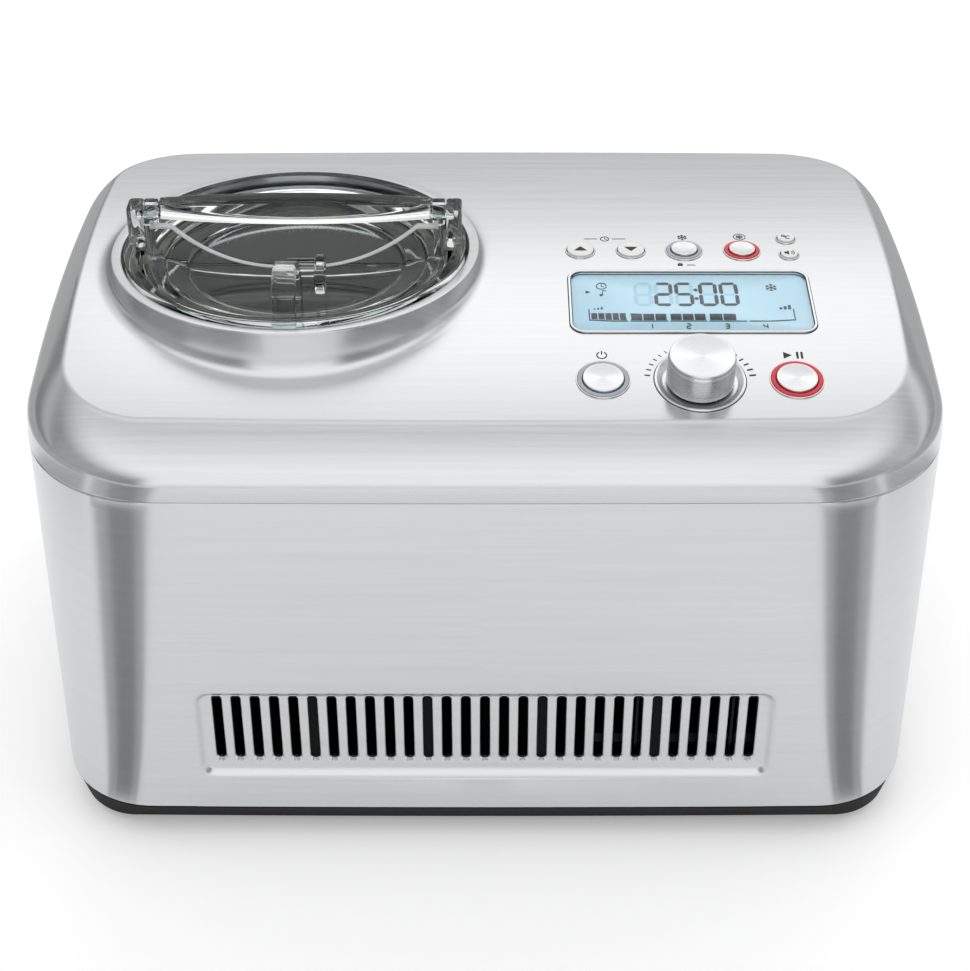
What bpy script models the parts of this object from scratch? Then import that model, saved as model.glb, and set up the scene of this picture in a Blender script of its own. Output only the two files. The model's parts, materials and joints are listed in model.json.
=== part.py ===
"""Ice cream maker with its own compressor: an assembly of separate, named pieces.

Run with: blender --background --python part.py

Frame: +Z up, the front faces -Y, the origin is on the floor under the middle of the machine.
Sizes below are in millimetres; SCALE turns them to metres once, where a mesh or a place is set.
"""

import math

import bmesh
import bpy
import numpy as np
from mathutils import Euler, Matrix, Vector

SCALE = 0.001

# ---------------------------------------------------------------- driving dimensions (mm)
WIDTH = 400.0  # over the widest part of the shoulder
DEPTH = 283.4
SHEET = 1.2  # stainless wall
GAP = 0.3  # between pieces that rest on or in each other
SLIDE_GAP = 0.6  # round pieces that slide or turn

FOOT_HEIGHT = 5.0
FOOT_RADIUS = 12.0
FOOT_NECK = 4.5
FOOT_INSET_X = 52.0
FOOT_INSET_Y = 46.0

TRAY_HEIGHT = 13.0  # visible black edge below the steel
TRAY_FLOOR = 3.0
TRAY_WALL = 3.0
TRAY_TAPER = 7.0  # how far the tray narrows towards the floor
TRAY_LIP = 8.0  # height of the lip inside the steel wall

SEAM_HEIGHT = 191.0  # where the cover meets the wall
BAND_HEIGHT = 7.0  # upright edge of the cover above the seam
CORNER_AT_FLOOR = 34.0
CORNER_AT_TRAY = 45.0
CORNER_AT_SEAM = 62.0
CORNER_WIDEST = 67.0
BULGE_FRONT = 1.4  # how far the long sides bow out
BULGE_SIDE = 6.0

FACE_INSET_X = 17.0  # from the widest outline to the edge of the top face
FACE_INSET_Y = 26.4
FACE_CORNER = 39.0
FACE_BULGE_FRONT = 2.9
FACE_BULGE_SIDE = 4.4
COVER_RISE = 37.9  # from the seam to the top face on the middle line
CROWN_SLOPE = 0.042
CROWN_CURVE = 0.000768
SHOULDER_POWER = 1.9

GRILLE_HALF_WIDTH = 128.5
GRILLE_LOW = 38.0
GRILLE_HIGH = 87.0
GRILLE_CORNER = 6.0
GRILLE_DEPTH = 2.5
GRILLE_BEVEL = 3.0
SLOT_COUNT = 29
SLOT_PITCH = 8.51
SLOT_WIDTH = 4.0
SLOT_LOW = 46.5
SLOT_HIGH = 84.0

REAR_VENT_HALF_WIDTH = 80.0
REAR_VENT_FROM_SIDE = 140.0
REAR_VENT_LOW = 60.0
REAR_VENT_HIGH = 130.0
INLET_FROM_SIDE = 50.0
INLET_HEIGHT = 45.0
INLET_RADIUS = 11.0

BOWL_FROM_SIDE = 114.0  # axis of the bowl, lid and drive, from the left side
BOWL_RADIUS = 70.5
BOWL_WALL = 1.5
BOWL_DEPTH = 103.0
BOWL_BELOW_CROWN = 15.9
BOWL_RIM = 3.5
LID_TILT = math.radians(2.7)  # the mouth leans back a little
MOUTH_RISE = 4.1  # lip of the collar above the crown, on the bowl's axis
LIP_OUTSIDE_BOWL = 12.9
LIP_WIDTH = 4.9
COLLAR_SPREAD = 8.1  # how much wider the collar's foot is than its lip
COLLAR_SKIRT = 10.0
CHIMNEY_RADIUS = 9.5
CHIMNEY_HEIGHT = 26.0
CHAMBER_WALL = 1.5
CHAMBER_FLANGE = 6.0
COIL_TUBE = 4.0
COIL_TURNS = 3
COIL_RISE = 20.0
COIL_SIDES = 16  # straight pieces in one turn of the coil
JACKET_WALL = 9.0

SPINDLE_RADIUS = 4.5
HEX_RADIUS = 5.0
PADDLE_CLEARANCE = 3.0  # between the blades and the bowl's wall
PADDLE_THICKNESS = 4.0
PADDLE_TOP = 78.0  # above the bowl's floor
HUB_RADIUS = 14.0

GEAR_MODULE = 1.5
GEAR_WIDTH = 6.0
AXLE_RADIUS = 2.0  # of the intermediate axle and both motors' shafts
OUTPUT_TEETH = 40
SMALL_TEETH = 10
WHEEL_TEETH = 30
PINION_TEETH = 10
GEARBOX_WALL = 2.5
GEARBOX_DEPTH = 30.0
GEARBOX_BELOW_JACKET = 4.0
MOTOR_RADIUS = 24.0
MOTOR_HEIGHT = 46.0

PANEL_FROM_SIDE = 109.0  # middle of the controls, from the right side
LOWER_ROW_Y = -90.0
UPPER_ROW_Y = 3.4
WINDOW_Y = -37.0
WINDOW_WIDTH = 105.5
WINDOW_DEPTH = 44.0
WINDOW_CORNER = 5.5
FRAME_WIDTH = 1.2
BUTTON_PROUD = 1.6
PLAIN_PROUD = 1.2  # the caps without a light ring
BIG_CAP_RADIUS = 9.0
BIG_RING_RADIUS = 11.0
SMALL_CAP_RADIUS = 6.2
SMALL_RING_RADIUS = 8.0
TIMER_RADIUS = 6.3
OPTION_RADIUS = 4.15
KNOB_RADIUS = 14.4
KNOB_HEIGHT = 14.0
DISH_RADIUS = 19.5
SHAFT_RADIUS = 3.0

LID_GAP = 1.2  # between the lid and the collar
LID_SKIRT = 8.0
LID_RIM_TOP = 2.5
LID_PLATE_TOP = -2.0
LID_PLATE = 2.5
LID_RIM = 7.1  # width of the lid's rim outside the hatch
HATCH_CLEARANCE = 1.2
HINGE_Y = 5.5
HINGE_HEIGHT = 15.0
HINGE_PIN = 3.0
BARREL_RADIUS = 6.0
BARREL_LENGTH = 5.6
POST_INSET = 8.8  # from the lid's edge to the inner face of a hinge post
POST_WIDTH = 7.0
GRIP_END_GAP = 0.9
POST_FRONT = -2.0
POST_REAR = 11.0
POST_TOP = 19.2
GRIP_REAR = 12.0
GRIP_LOW = 13.2  # of the bar's ends
GRIP_HIGH = 19.6
GRIP_DEPTH = 12.0
GRIP_DROP = 4.1  # how much further its middle reaches down, up and back
GRIP_RISE = 2.6
GRIP_NARROWING = 3.0
LOOP_ROD = 3.2
LOOP_FROM_EDGE = 3.5
LOOP_LENGTH = 32.0
LOOP_HEIGHT = 18.0

COMPRESSOR_FROM_SIDE = 88.0
COMPRESSOR_FROM_BACK = 99.7
COMPRESSOR_RADIUS = 54.0
COMPRESSOR_HEIGHT = 120.0
FAN_FROM_SIDE = 96.0
FAN_HEIGHT = 86.0
FAN_RADIUS = 48.0
FAN_BLADES = 7
FAN_THICKNESS = 18.0
CONDENSER_FINS = 8
CONDENSER_DEPTH = 20.0
CONDENSER_HALF_LENGTH = 50.0
CONDENSER_LOW = 30.0
CONDENSER_HIGH = 146.0
CONDENSER_TUBE = 4.0
PIPE_RADIUS = 3.5
BOARD_THICKNESS = 1.6
POWER_BOARD_LOW = 40.0
POWER_BOARD_HIGH = 150.0
SCREEN_THICKNESS = 3.0

# ---------------------------------------------------------------- derived
HALF_W = WIDTH / 2
HALF_D = DEPTH / 2
WALL_INSET = 0.4  # the steel wrap stands in from the cover's edge
CROWN_HEIGHT = SEAM_HEIGHT + COVER_RISE
BOWL_X = BOWL_FROM_SIDE - HALF_W
PANEL_X = HALF_W - PANEL_FROM_SIDE
COMPRESSOR_X = HALF_W - COMPRESSOR_FROM_SIDE
COMPRESSOR_Y = HALF_D - COMPRESSOR_FROM_BACK
FAN_X = HALF_W - FAN_FROM_SIDE
REAR_VENT_X = HALF_W - REAR_VENT_FROM_SIDE
INLET_X = INLET_FROM_SIDE - HALF_W
MOUTH_HEIGHT = CROWN_HEIGHT + MOUTH_RISE
BOWL_TOP = CROWN_HEIGHT - BOWL_BELOW_CROWN
BOWL_BOTTOM = BOWL_TOP - BOWL_DEPTH
LIP_RADIUS = BOWL_RADIUS + LIP_OUTSIDE_BOWL
COLLAR_FOOT_RADIUS = LIP_RADIUS + COLLAR_SPREAD
LID_RADIUS = LIP_RADIUS - LIP_WIDTH - LID_GAP
HATCH_OPENING = LID_RADIUS - LID_RIM
POST_X = LID_RADIUS - POST_INSET
LOOP_FRONT = LOOP_FROM_EDGE - HATCH_OPENING + HATCH_CLEARANCE
LOOP_REAR = LOOP_FRONT + LOOP_LENGTH
WALL_BOTTOM = FOOT_HEIGHT + TRAY_HEIGHT + GAP
WALL_TOP = SEAM_HEIGHT
FACE_W = HALF_W - FACE_INSET_X
FACE_D = HALF_D - FACE_INSET_Y
FLOOR_TOP = FOOT_HEIGHT + TRAY_FLOOR
CHAMBER_INNER = BOWL_RADIUS + SLIDE_GAP
CHAMBER_OUTER = CHAMBER_INNER + CHAMBER_WALL
CHAMBER_BOTTOM = BOWL_BOTTOM - GAP - CHAMBER_WALL
PADDLE_REACH = BOWL_RADIUS - BOWL_WALL - PADDLE_CLEARANCE
COIL_RADIUS = (CHAMBER_OUTER + GAP + COIL_TUBE) / math.cos(math.pi / COIL_SIDES)
JACKET_SIDES = 28
JACKET_INNER = (COIL_RADIUS + COIL_TUBE + GAP) / math.cos(math.pi / JACKET_SIDES)
JACKET_BOTTOM = CHAMBER_BOTTOM - 1.0 - JACKET_WALL
GEARBOX_TOP = JACKET_BOTTOM - GEARBOX_BELOW_JACKET
GEARBOX_BOTTOM = GEARBOX_TOP - GEARBOX_DEPTH
GRIP_HALF_LENGTH = POST_X - SLIDE_GAP - BARREL_LENGTH - GRIP_END_GAP
COMPRESSOR_BOTTOM = FLOOR_TOP + GAP


# ---------------------------------------------------------------- materials
def material(name, hex_colour, metallic=0.0, roughness=0.5, alpha=1.0):
    """A Principled material from an sRGB colour."""
    made = bpy.data.materials.new(name)
    made.use_nodes = True
    shader = made.node_tree.nodes["Principled BSDF"]
    channels = [int(hex_colour[i : i + 2], 16) / 255 for i in (0, 2, 4)]
    linear = [c / 12.92 if c <= 0.04045 else ((c + 0.055) / 1.055) ** 2.4 for c in channels]
    shader.inputs["Base Color"].default_value = (*linear, 1.0)
    shader.inputs["Metallic"].default_value = metallic
    shader.inputs["Roughness"].default_value = roughness
    shader.inputs["Alpha"].default_value = alpha
    return made


def make_materials():
    return {
        "brushed_steel": material("brushed_steel", "C9CACB", 1.0, 0.35),
        "black_plastic": material("black_plastic", "17181A", 0.0, 0.5),
        "rubber": material("rubber", "101011", 0.0, 0.8),
        "clear_plastic": material("clear_plastic", "E8F0F0", 0.0, 0.05, 0.3),
        "anodised_aluminium": material("anodised_aluminium", "9EA2A4", 1.0, 0.4),
        "spun_aluminium": material("spun_aluminium", "D5D6D8", 1.0, 0.25),
        "foam": material("foam", "D8D2C0", 0.0, 0.9),
        "copper": material("copper", "B87348", 1.0, 0.3),
        "steel": material("steel", "A8AAAC", 1.0, 0.3),
        "bronze": material("bronze", "A07A45", 1.0, 0.35),
        "nylon": material("nylon", "E6E4DC", 0.0, 0.45),
        "black_enamel": material("black_enamel", "1C1D1F", 0.0, 0.3),
        "circuit_board": material("circuit_board", "1F5A3A", 0.0, 0.5),
        "lit_display": material("lit_display", "BFE2F2", 0.0, 0.3),
        "white_button": material("white_button", "E9E9E6", 0.0, 0.35),
        "clear_ring": material("clear_ring", "D9DEE2", 0.0, 0.2),
        "red_ring": material("red_ring", "C3182B", 0.0, 0.25),
        "paddle_plastic": material("paddle_plastic", "D9DCDA", 0.0, 0.3),
    }


# ---------------------------------------------------------------- mesh helpers
def mesh_object(name, points, faces, finish, smooth=True):
    """An object from points in millimetres, its faces turned outwards."""
    mesh = bpy.data.meshes.new(name)
    mesh.from_pydata([tuple(np.asarray(p, float) * SCALE) for p in points], [], faces)
    work = bmesh.new()
    work.from_mesh(mesh)
    bmesh.ops.recalc_face_normals(work, faces=work.faces)
    if work.calc_volume(signed=True) < 0:
        bmesh.ops.reverse_faces(work, faces=work.faces)
    work.to_mesh(mesh)
    work.free()
    if smooth:
        mesh.shade_smooth()
        mesh.set_sharp_from_angle(angle=math.radians(35))
    if finish is not None:
        mesh.materials.append(finish)
    made = bpy.data.objects.new(name, mesh)
    bpy.context.scene.collection.objects.link(made)
    return made


def place(made, at=(0.0, 0.0, 0.0), turn=(0.0, 0.0, 0.0), parent=None):
    """Sets an object's place in millimetres, its rotation, and its parent."""
    made.location = Vector(at) * SCALE
    made.rotation_euler = turn
    made.parent = parent
    return made


def rings_mesh(rings, closed=False):
    """Points and faces of a skin over rings of equal length; a ring of one point is a pole."""
    points, starts = [], []
    for ring in rings:
        starts.append((len(points), len(ring)))
        points.extend(ring)
    faces = []
    pairs = list(zip(starts, starts[1:]))
    if closed:
        pairs.append((starts[-1], starts[0]))
    for (a, many_a), (b, many_b) in pairs:
        many = max(many_a, many_b)
        for i in range(many):
            j = (i + 1) % many
            if many_a == 1:
                faces.append((a, b + j, b + i))
            elif many_b == 1:
                faces.append((a + i, a + j, b))
            else:
                faces.append((a + i, a + j, b + j, b + i))
    if not closed:
        for start, many in (starts[0], starts[-1]):
            if many > 2:
                faces.append(tuple(range(start, start + many)))
    return points, faces


def loft(name, rings, finish, closed=False, smooth=True):
    points, faces = rings_mesh(rings, closed)
    return mesh_object(name, points, faces, finish, smooth)


def turned(name, profile, finish, sides=32, loop=False):
    """A body of revolution about Z from (radius, height) pairs; a loop is a ring-shaped body."""
    angles = np.arange(sides) * 2 * math.pi / sides
    rings = []
    for radius, height in profile:
        if radius < 1e-6:
            rings.append([(0.0, 0.0, height)])
        else:
            rings.append([(radius * math.cos(t), radius * math.sin(t), height) for t in angles])
    return loft(name, rings, finish, closed=loop)


def cylinder(name, radius, low, high, finish, sides=24):
    return turned(name, [(0, low), (radius, low), (radius, high), (0, high)], finish, sides)


def block(name, low, high, finish, bevel=0.0):
    """A box between two corners, with its edges rounded when bevel is set."""
    (x0, y0, z0), (x1, y1, z1) = low, high
    points = [(x, y, z) for z in (z0, z1) for x, y in ((x0, y0), (x1, y0), (x1, y1), (x0, y1))]
    faces = [(0, 1, 2, 3), (4, 5, 6, 7), (0, 1, 5, 4), (1, 2, 6, 5), (2, 3, 7, 6), (3, 0, 4, 7)]
    made = mesh_object(name, points, faces, finish, smooth=False)
    if bevel:
        rounded = made.modifiers.new("edges", "BEVEL")
        rounded.width = bevel * SCALE
        rounded.segments = 2
    return made


def rounded_rectangle(half_x, half_y, corner, steps=6):
    """Outline of a rectangle with round corners, anticlockwise from the lower right."""
    outline = []
    for quarter, (sx, sy) in enumerate(((1, -1), (1, 1), (-1, 1), (-1, -1))):
        for k in range(steps + 1):
            t = math.radians(90 * quarter - 90 + 90 * k / steps)
            x = sx * (half_x - corner) + corner * math.cos(t)
            outline.append((x, sy * (half_y - corner) + corner * math.sin(t)))
    return outline


def prism(name, outline, low, high, finish):
    """An outline in XY carried straight up."""
    rings = [[(x, y, z) for x, y in outline] for z in (low, high)]
    return loft(name, rings, finish)


def swept_tube(path, radius, sides=8):
    """Points and faces of a round bar along a path, its rings turned by the least twist."""
    path = [Vector(p) for p in path]
    rings = []
    normal = None
    for i, point in enumerate(path):
        ahead = path[min(i + 1, len(path) - 1)] - path[max(i - 1, 0)]
        ahead.normalize()
        if normal is None:
            normal = ahead.orthogonal().normalized()
        normal = (normal - ahead * normal.dot(ahead)).normalized()
        across = ahead.cross(normal)
        angles = [2 * math.pi * k / sides for k in range(sides)]
        rings.append([tuple(point + radius * (math.cos(t) * normal + math.sin(t) * across))
                      for t in angles])
    return rings_mesh(rings)


def tube(name, path, radius, finish, sides=8):
    points, faces = swept_tube(path, radius, sides)
    return mesh_object(name, points, faces, finish)


def merged(name, pieces, finish):
    """Several separate shapes in one mesh object, for use as a cutter or an addition."""
    points, faces = [], []
    for piece_points, piece_faces in pieces:
        first = len(points)
        points.extend(piece_points)
        faces.extend(tuple(first + i for i in face) for face in piece_faces)
    return mesh_object(name, points, faces, finish)


def shape_of(made):
    """World points (mm) and faces of an object, which is then removed."""
    turn = Matrix.LocRotScale(made.location, made.rotation_euler, made.scale)
    points = [tuple(turn @ v.co / SCALE) for v in made.data.vertices]
    faces = [tuple(p.vertices) for p in made.data.polygons]
    bpy.data.objects.remove(made)
    return points, faces


def combine(made, tool, operation):
    """Cuts or joins with another object, which then stays hidden as a guide."""
    step = made.modifiers.new(tool.name, "BOOLEAN")
    step.operation = operation
    step.object = tool
    tool.hide_render = True
    tool.display_type = "WIRE"
    return made


# ---------------------------------------------------------------- outlines of the body
def soft_outline(half_x, half_y, corner, bulge_front, bulge_side, per_corner=6, per_side=2):
    """Outline whose four sides are shallow arcs, joined smoothly by round corners."""
    long_r = (half_x**2 + bulge_front**2) / (2 * bulge_front)
    short_r = (half_y**2 + bulge_side**2) / (2 * bulge_side)
    long_c = np.array([0.0, long_r - half_y])  # centre of the front arc
    short_c = np.array([half_x - short_r, 0.0])  # centre of the right-hand arc
    # centre of the front right corner: a fixed distance from both arc centres
    span = long_c - short_c
    apart = np.linalg.norm(span)
    reach_l, reach_s = long_r - corner, short_r - corner
    along = (reach_s**2 - reach_l**2 + apart**2) / (2 * apart)
    aside = math.sqrt(max(reach_s**2 - along**2, 0.0))
    unit = span / apart
    centre = short_c + along * unit + aside * np.array([unit[1], -unit[0]])
    start = math.atan2(*(centre - long_c)[::-1])
    end = math.atan2(*(centre - short_c)[::-1])
    front = [long_c + long_r * np.array([math.cos(t), math.sin(t)])
             for t in np.linspace(-math.pi / 2, start, per_side + 1)[:-1]]
    turn = [centre + corner * np.array([math.cos(t), math.sin(t)])
            for t in np.linspace(start, end, per_corner + 1)]
    side = [short_c + short_r * np.array([math.cos(t), math.sin(t)])
            for t in np.linspace(end, 0.0, per_side + 1)[1:]]
    quarter = np.array(front + turn + side)
    upper = quarter[::-1][1:] * [1, -1]
    right = np.vstack([quarter, upper])
    left = right[::-1][1:-1] * [-1, 1]
    return np.vstack([right, left])


def crown(y):
    """Height of the top face."""
    return CROWN_HEIGHT + CROWN_SLOPE * y - CROWN_CURVE * y * y


def crown_angle(y):
    return math.atan(CROWN_SLOPE - 2 * CROWN_CURVE * y)


def wall_corner(z):
    share = (z - WALL_BOTTOM) / (WALL_TOP - WALL_BOTTOM)
    return CORNER_AT_TRAY + (CORNER_AT_SEAM - CORNER_AT_TRAY) * share


def body_outline(inset, corner):
    return soft_outline(HALF_W - inset, HALF_D - inset, corner - inset, BULGE_FRONT, BULGE_SIDE)


def level(outline, z):
    return [(x, y, z) for x, y in outline]


# ---------------------------------------------------------------- casing
def make_tray(finish):
    top = FOOT_HEIGHT + TRAY_HEIGHT
    lip_inset = WALL_INSET + SHEET + 3 * GAP
    rings = [
        level(body_outline(TRAY_TAPER + 1.5, CORNER_AT_FLOOR), FOOT_HEIGHT),
        level(body_outline(TRAY_TAPER, CORNER_AT_FLOOR), FOOT_HEIGHT + 1.5),
        level(body_outline(0.8, CORNER_AT_TRAY), top),
        level(body_outline(lip_inset, CORNER_AT_TRAY), top),
        level(body_outline(lip_inset, CORNER_AT_TRAY), top + TRAY_LIP),
        level(body_outline(lip_inset + TRAY_WALL, CORNER_AT_TRAY), top + TRAY_LIP),
        level(body_outline(TRAY_TAPER + TRAY_WALL, CORNER_AT_FLOOR), FLOOR_TOP),
    ]
    tray = loft("base_tray", rings, finish)
    holes = []
    for x, y in foot_places():
        hole = cylinder("hole", FOOT_NECK + GAP, 0, FLOOR_TOP + TRAY_WALL, None, 14)
        holes.append(shape_of(place(hole, (x, y, 0))))
    combine(tray, merged("foot_holes", holes, None), "DIFFERENCE")


def foot_places():
    x, y = HALF_W - FOOT_INSET_X, HALF_D - FOOT_INSET_Y
    return [(-x, -y), (x, -y), (-x, y), (x, y)]


def make_feet(finish):
    names = ("foot_front_left", "foot_front_right", "foot_rear_left", "foot_rear_right")
    barb = FLOOR_TOP + GAP
    profile = [
        (0, 0), (FOOT_RADIUS - 1, 0), (FOOT_RADIUS, 1), (FOOT_RADIUS - 1, FOOT_HEIGHT - GAP),
        (FOOT_NECK, FOOT_HEIGHT - GAP), (FOOT_NECK, barb), (FOOT_NECK + 1.5, barb), (0, barb + 4),
    ]
    for name, (x, y) in zip(names, foot_places()):
        place(turned(name, profile, finish, 14), (x, y, 0))


def upright_prism(outline, y_low, y_high):
    """Shape of an outline in X and Z carried along Y."""
    rings = [[(x, y, z) for x, z in outline] for y in (y_low, y_high)]
    return rings_mesh(rings)


def grille_outline(shrink):
    middle = (GRILLE_LOW + GRILLE_HIGH) / 2
    half = (GRILLE_HIGH - GRILLE_LOW) / 2
    corner = GRILLE_CORNER - shrink / 2
    outline = rounded_rectangle(GRILLE_HALF_WIDTH - shrink, half - shrink, corner, 4)
    return [(x, z + middle) for x, z in outline]


def slot_outline(x):
    """A tall slot with round ends."""
    radius = SLOT_WIDTH / 2
    outline = []
    for middle, start in ((SLOT_LOW + radius, 180), (SLOT_HIGH - radius, 0)):
        for k in range(5):
            t = math.radians(start + 180 * k / 4)
            outline.append((x + radius * math.cos(t), middle + radius * math.sin(t)))
    return outline


def make_wall(finish):
    """The steel wrap, its pressed grille with slots, and the openings in its back."""
    heights = np.linspace(WALL_BOTTOM, WALL_TOP, 3)
    rings = [level(body_outline(WALL_INSET, wall_corner(z)), z) for z in heights]
    rings += [level(body_outline(WALL_INSET + SHEET, wall_corner(z)), z) for z in heights[::-1]]
    wall = loft("body_shell", rings, finish, closed=True)

    front = WALL_INSET - HALF_D
    plate = upright_prism(grille_outline(-2.0), front + 0.8, front + GRILLE_DEPTH + SHEET)
    combine(wall, merged("grille_plate", [plate], None), "UNION")
    reach = [front - 3.0 * GRILLE_DEPTH, front + GRILLE_DEPTH]
    slope = GRILLE_BEVEL / GRILLE_DEPTH
    shrink = [GRILLE_BEVEL - slope * (reach[1] - reach[0]), GRILLE_BEVEL]
    recess = rings_mesh([[(x, y, z) for x, z in grille_outline(s)] for s, y in zip(shrink, reach)])
    combine(wall, merged("grille_recess", [recess], None), "DIFFERENCE")
    places = [(k - (SLOT_COUNT - 1) / 2) * SLOT_PITCH for k in range(SLOT_COUNT)]
    behind = front + GRILLE_DEPTH + SHEET + 3
    slots = [upright_prism(slot_outline(x), front - 2, behind) for x in places]
    combine(wall, merged("grille_slots", slots, None), "DIFFERENCE")

    middle = (REAR_VENT_LOW + REAR_VENT_HIGH) / 2
    half = (REAR_VENT_HIGH - REAR_VENT_LOW) / 2
    window = [(x + REAR_VENT_X, z + middle)
              for x, z in rounded_rectangle(REAR_VENT_HALF_WIDTH, half, 6, 4)]
    round_hole = [
        (INLET_X + INLET_RADIUS * math.cos(t), INLET_HEIGHT + INLET_RADIUS * math.sin(t))
        for t in np.linspace(0, 2 * math.pi, 20, endpoint=False)
    ]
    rear = [upright_prism(o, HALF_D - 25, HALF_D + 5) for o in (window, round_hole)]
    combine(wall, merged("rear_openings", rear, None), "DIFFERENCE")


def wall_inside(x):
    """Depth of the steel wall's inner face at x, on the long sides."""
    long_r = (HALF_W**2 + BULGE_FRONT**2) / (2 * BULGE_FRONT)
    return HALF_D - WALL_INSET - SHEET - (long_r - math.sqrt(long_r**2 - x * x))


def make_rear_pieces(black):
    """A louvred vent panel that fills the rear window, and the inlet that takes the cord."""
    low, high = REAR_VENT_LOW + GAP, REAR_VENT_HIGH - GAP
    middle, half = (low + high) / 2, (high - low) / 2
    face = [(x + REAR_VENT_X, z + middle)
            for x, z in rounded_rectangle(REAR_VENT_HALF_WIDTH - GAP, half, 6 - GAP, 4)]
    flange = [(x + REAR_VENT_X, z + middle)
              for x, z in rounded_rectangle(REAR_VENT_HALF_WIDTH + 4, half + 4, 8, 4)]
    reach = REAR_VENT_X + REAR_VENT_HALF_WIDTH
    back = wall_inside(reach + 4) - GAP - 0.6
    points, faces = upright_prism(face, back - 1.5, wall_inside(0) - 1.0)
    panel = mesh_object("rear_vent_panel", points, faces, black)
    combine(panel, merged("vent_flange", [upright_prism(flange, back - 2.5, back)], None), "UNION")
    slots = []
    for k in range(6):
        z = low + 8 + k * (high - low - 16) / 5
        slot = rounded_rectangle(REAR_VENT_HALF_WIDTH - 10, 2.6, 2.4, 2)
        outline = [(x + REAR_VENT_X, y + z) for x, y in slot]
        slots.append(upright_prism(outline, back - 8, back + 12))
    combine(panel, merged("vent_slots", slots, None), "DIFFERENCE")

    neck, inside = INLET_RADIUS - GAP, wall_inside(INLET_X)
    profile = [
        (4.0, -14), (neck + 3, -14), (neck + 3, -10), (neck, -10), (neck, 1.0), (neck - 1.5, 1.8),
        (4.0, 1.8),
    ]
    inlet = turned("power_inlet", profile, black, 20, loop=True)
    place(inlet, (INLET_X, inside + 0.2, INLET_HEIGHT), (-math.pi / 2, 0, 0))


def make_intake_screen(black):
    """A dark louvre behind the front slots."""
    front = WALL_INSET - HALF_D + GRILLE_DEPTH + SHEET + GAP
    points, faces = upright_prism(grille_outline(-1.0), front, front + SCREEN_THICKNESS)
    screen = mesh_object("intake_screen", points, faces, black)
    slots = []
    count = 5
    middle, half = (GRILLE_LOW + GRILLE_HIGH) / 2, (GRILLE_HIGH - GRILLE_LOW) / 2
    for k in range(count):
        x = (k - (count - 1) / 2) * 2 * GRILLE_HALF_WIDTH / count
        slot = rounded_rectangle(GRILLE_HALF_WIDTH / count - 3, half - 5, 3.0, 2)
        outline = [(x + u, v + middle) for u, v in slot]
        slots.append(upright_prism(outline, front - 2, front + 2 * SCREEN_THICKNESS))
    combine(screen, merged("screen_slots", slots, None), "DIFFERENCE")


def cover_rings(inset, drop):
    """Rings of the cover's skin from its lower edge up the shoulder and in over the top face."""
    foot = SEAM_HEIGHT + GAP
    start = foot + BAND_HEIGHT
    wide = body_outline(inset, CORNER_WIDEST)
    face = soft_outline(
        FACE_W - inset, FACE_D - inset, FACE_CORNER - inset, FACE_BULGE_FRONT, FACE_BULGE_SIDE
    )
    rings = [level(body_outline(0.2 + inset, CORNER_AT_SEAM), foot), level(wide, start - drop)]
    steps = 4
    for k in range(1, steps + 1):
        up = k / steps
        inward = up**SHOULDER_POWER
        between = wide + (face - wide) * inward
        top = np.array([crown(y) for _, y in face])
        heights = start + (top - start) * up - drop
        rings.append([(x, y, z) for (x, y), z in zip(between, heights)])
    for share in (0.8, 0.55, 0.3, 0.08):
        rings.append([(x * share, y * share, crown(y * share) - drop) for x, y in face])
    return rings


def on_crown(shape_maker, x, y):
    """A cutter made in the top face's own frame at (x, y), as world points and faces."""
    made = shape_maker()
    place(made, (x, y, crown(y)), (crown_angle(y), 0, 0))
    return shape_of(made)


def round_cutter(radius):
    return lambda: cylinder("cut", radius, -8, 8, None, 20)


def collar_loops():
    """Rings of the collar: a foot in the cover's skin, a filleted wall, a flat lip, a skirt."""
    directions = [(math.cos(t), math.sin(t)) for t in np.arange(44) * 2 * math.pi / 44]
    tilt = Euler((-LID_TILT, 0, 0)).to_matrix()
    mouth = Vector((BOWL_X, 0, MOUTH_HEIGHT))

    def on_mouth(radius, height):
        return [tuple(mouth + tilt @ Vector((radius * c, radius * s, height))) for c, s in directions]

    def on_face(radius, height):
        return [(BOWL_X + radius * c, radius * s, crown(radius * s) + height) for c, s in directions]

    foot, lip = on_face(COLLAR_FOOT_RADIUS, 0.0), on_mouth(LIP_RADIUS, 0.0)
    wall = []
    for up, out in ((0.1, 0.5), (0.25, 0.27), (0.5, 0.1)):
        ring = []
        for (fx, fy, fz), (lx, ly, lz) in zip(foot, lip):
            ring.append((lx + (fx - lx) * out, ly + (fy - ly) * out, fz + (lz - fz) * up))
        wall.append(ring)
    inner = LIP_RADIUS - LIP_WIDTH
    return [
        on_face(COLLAR_FOOT_RADIUS, -0.4), *wall, lip, on_mouth(LIP_RADIUS - 0.8, 0.6),
        on_mouth(inner, 0.6), on_mouth(inner, -COLLAR_SKIRT), on_mouth(inner + 1.5, -COLLAR_SKIRT),
        on_face(LIP_RADIUS - 0.2, -0.9), on_face(COLLAR_FOOT_RADIUS - 0.8, -0.9),
    ]


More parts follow.
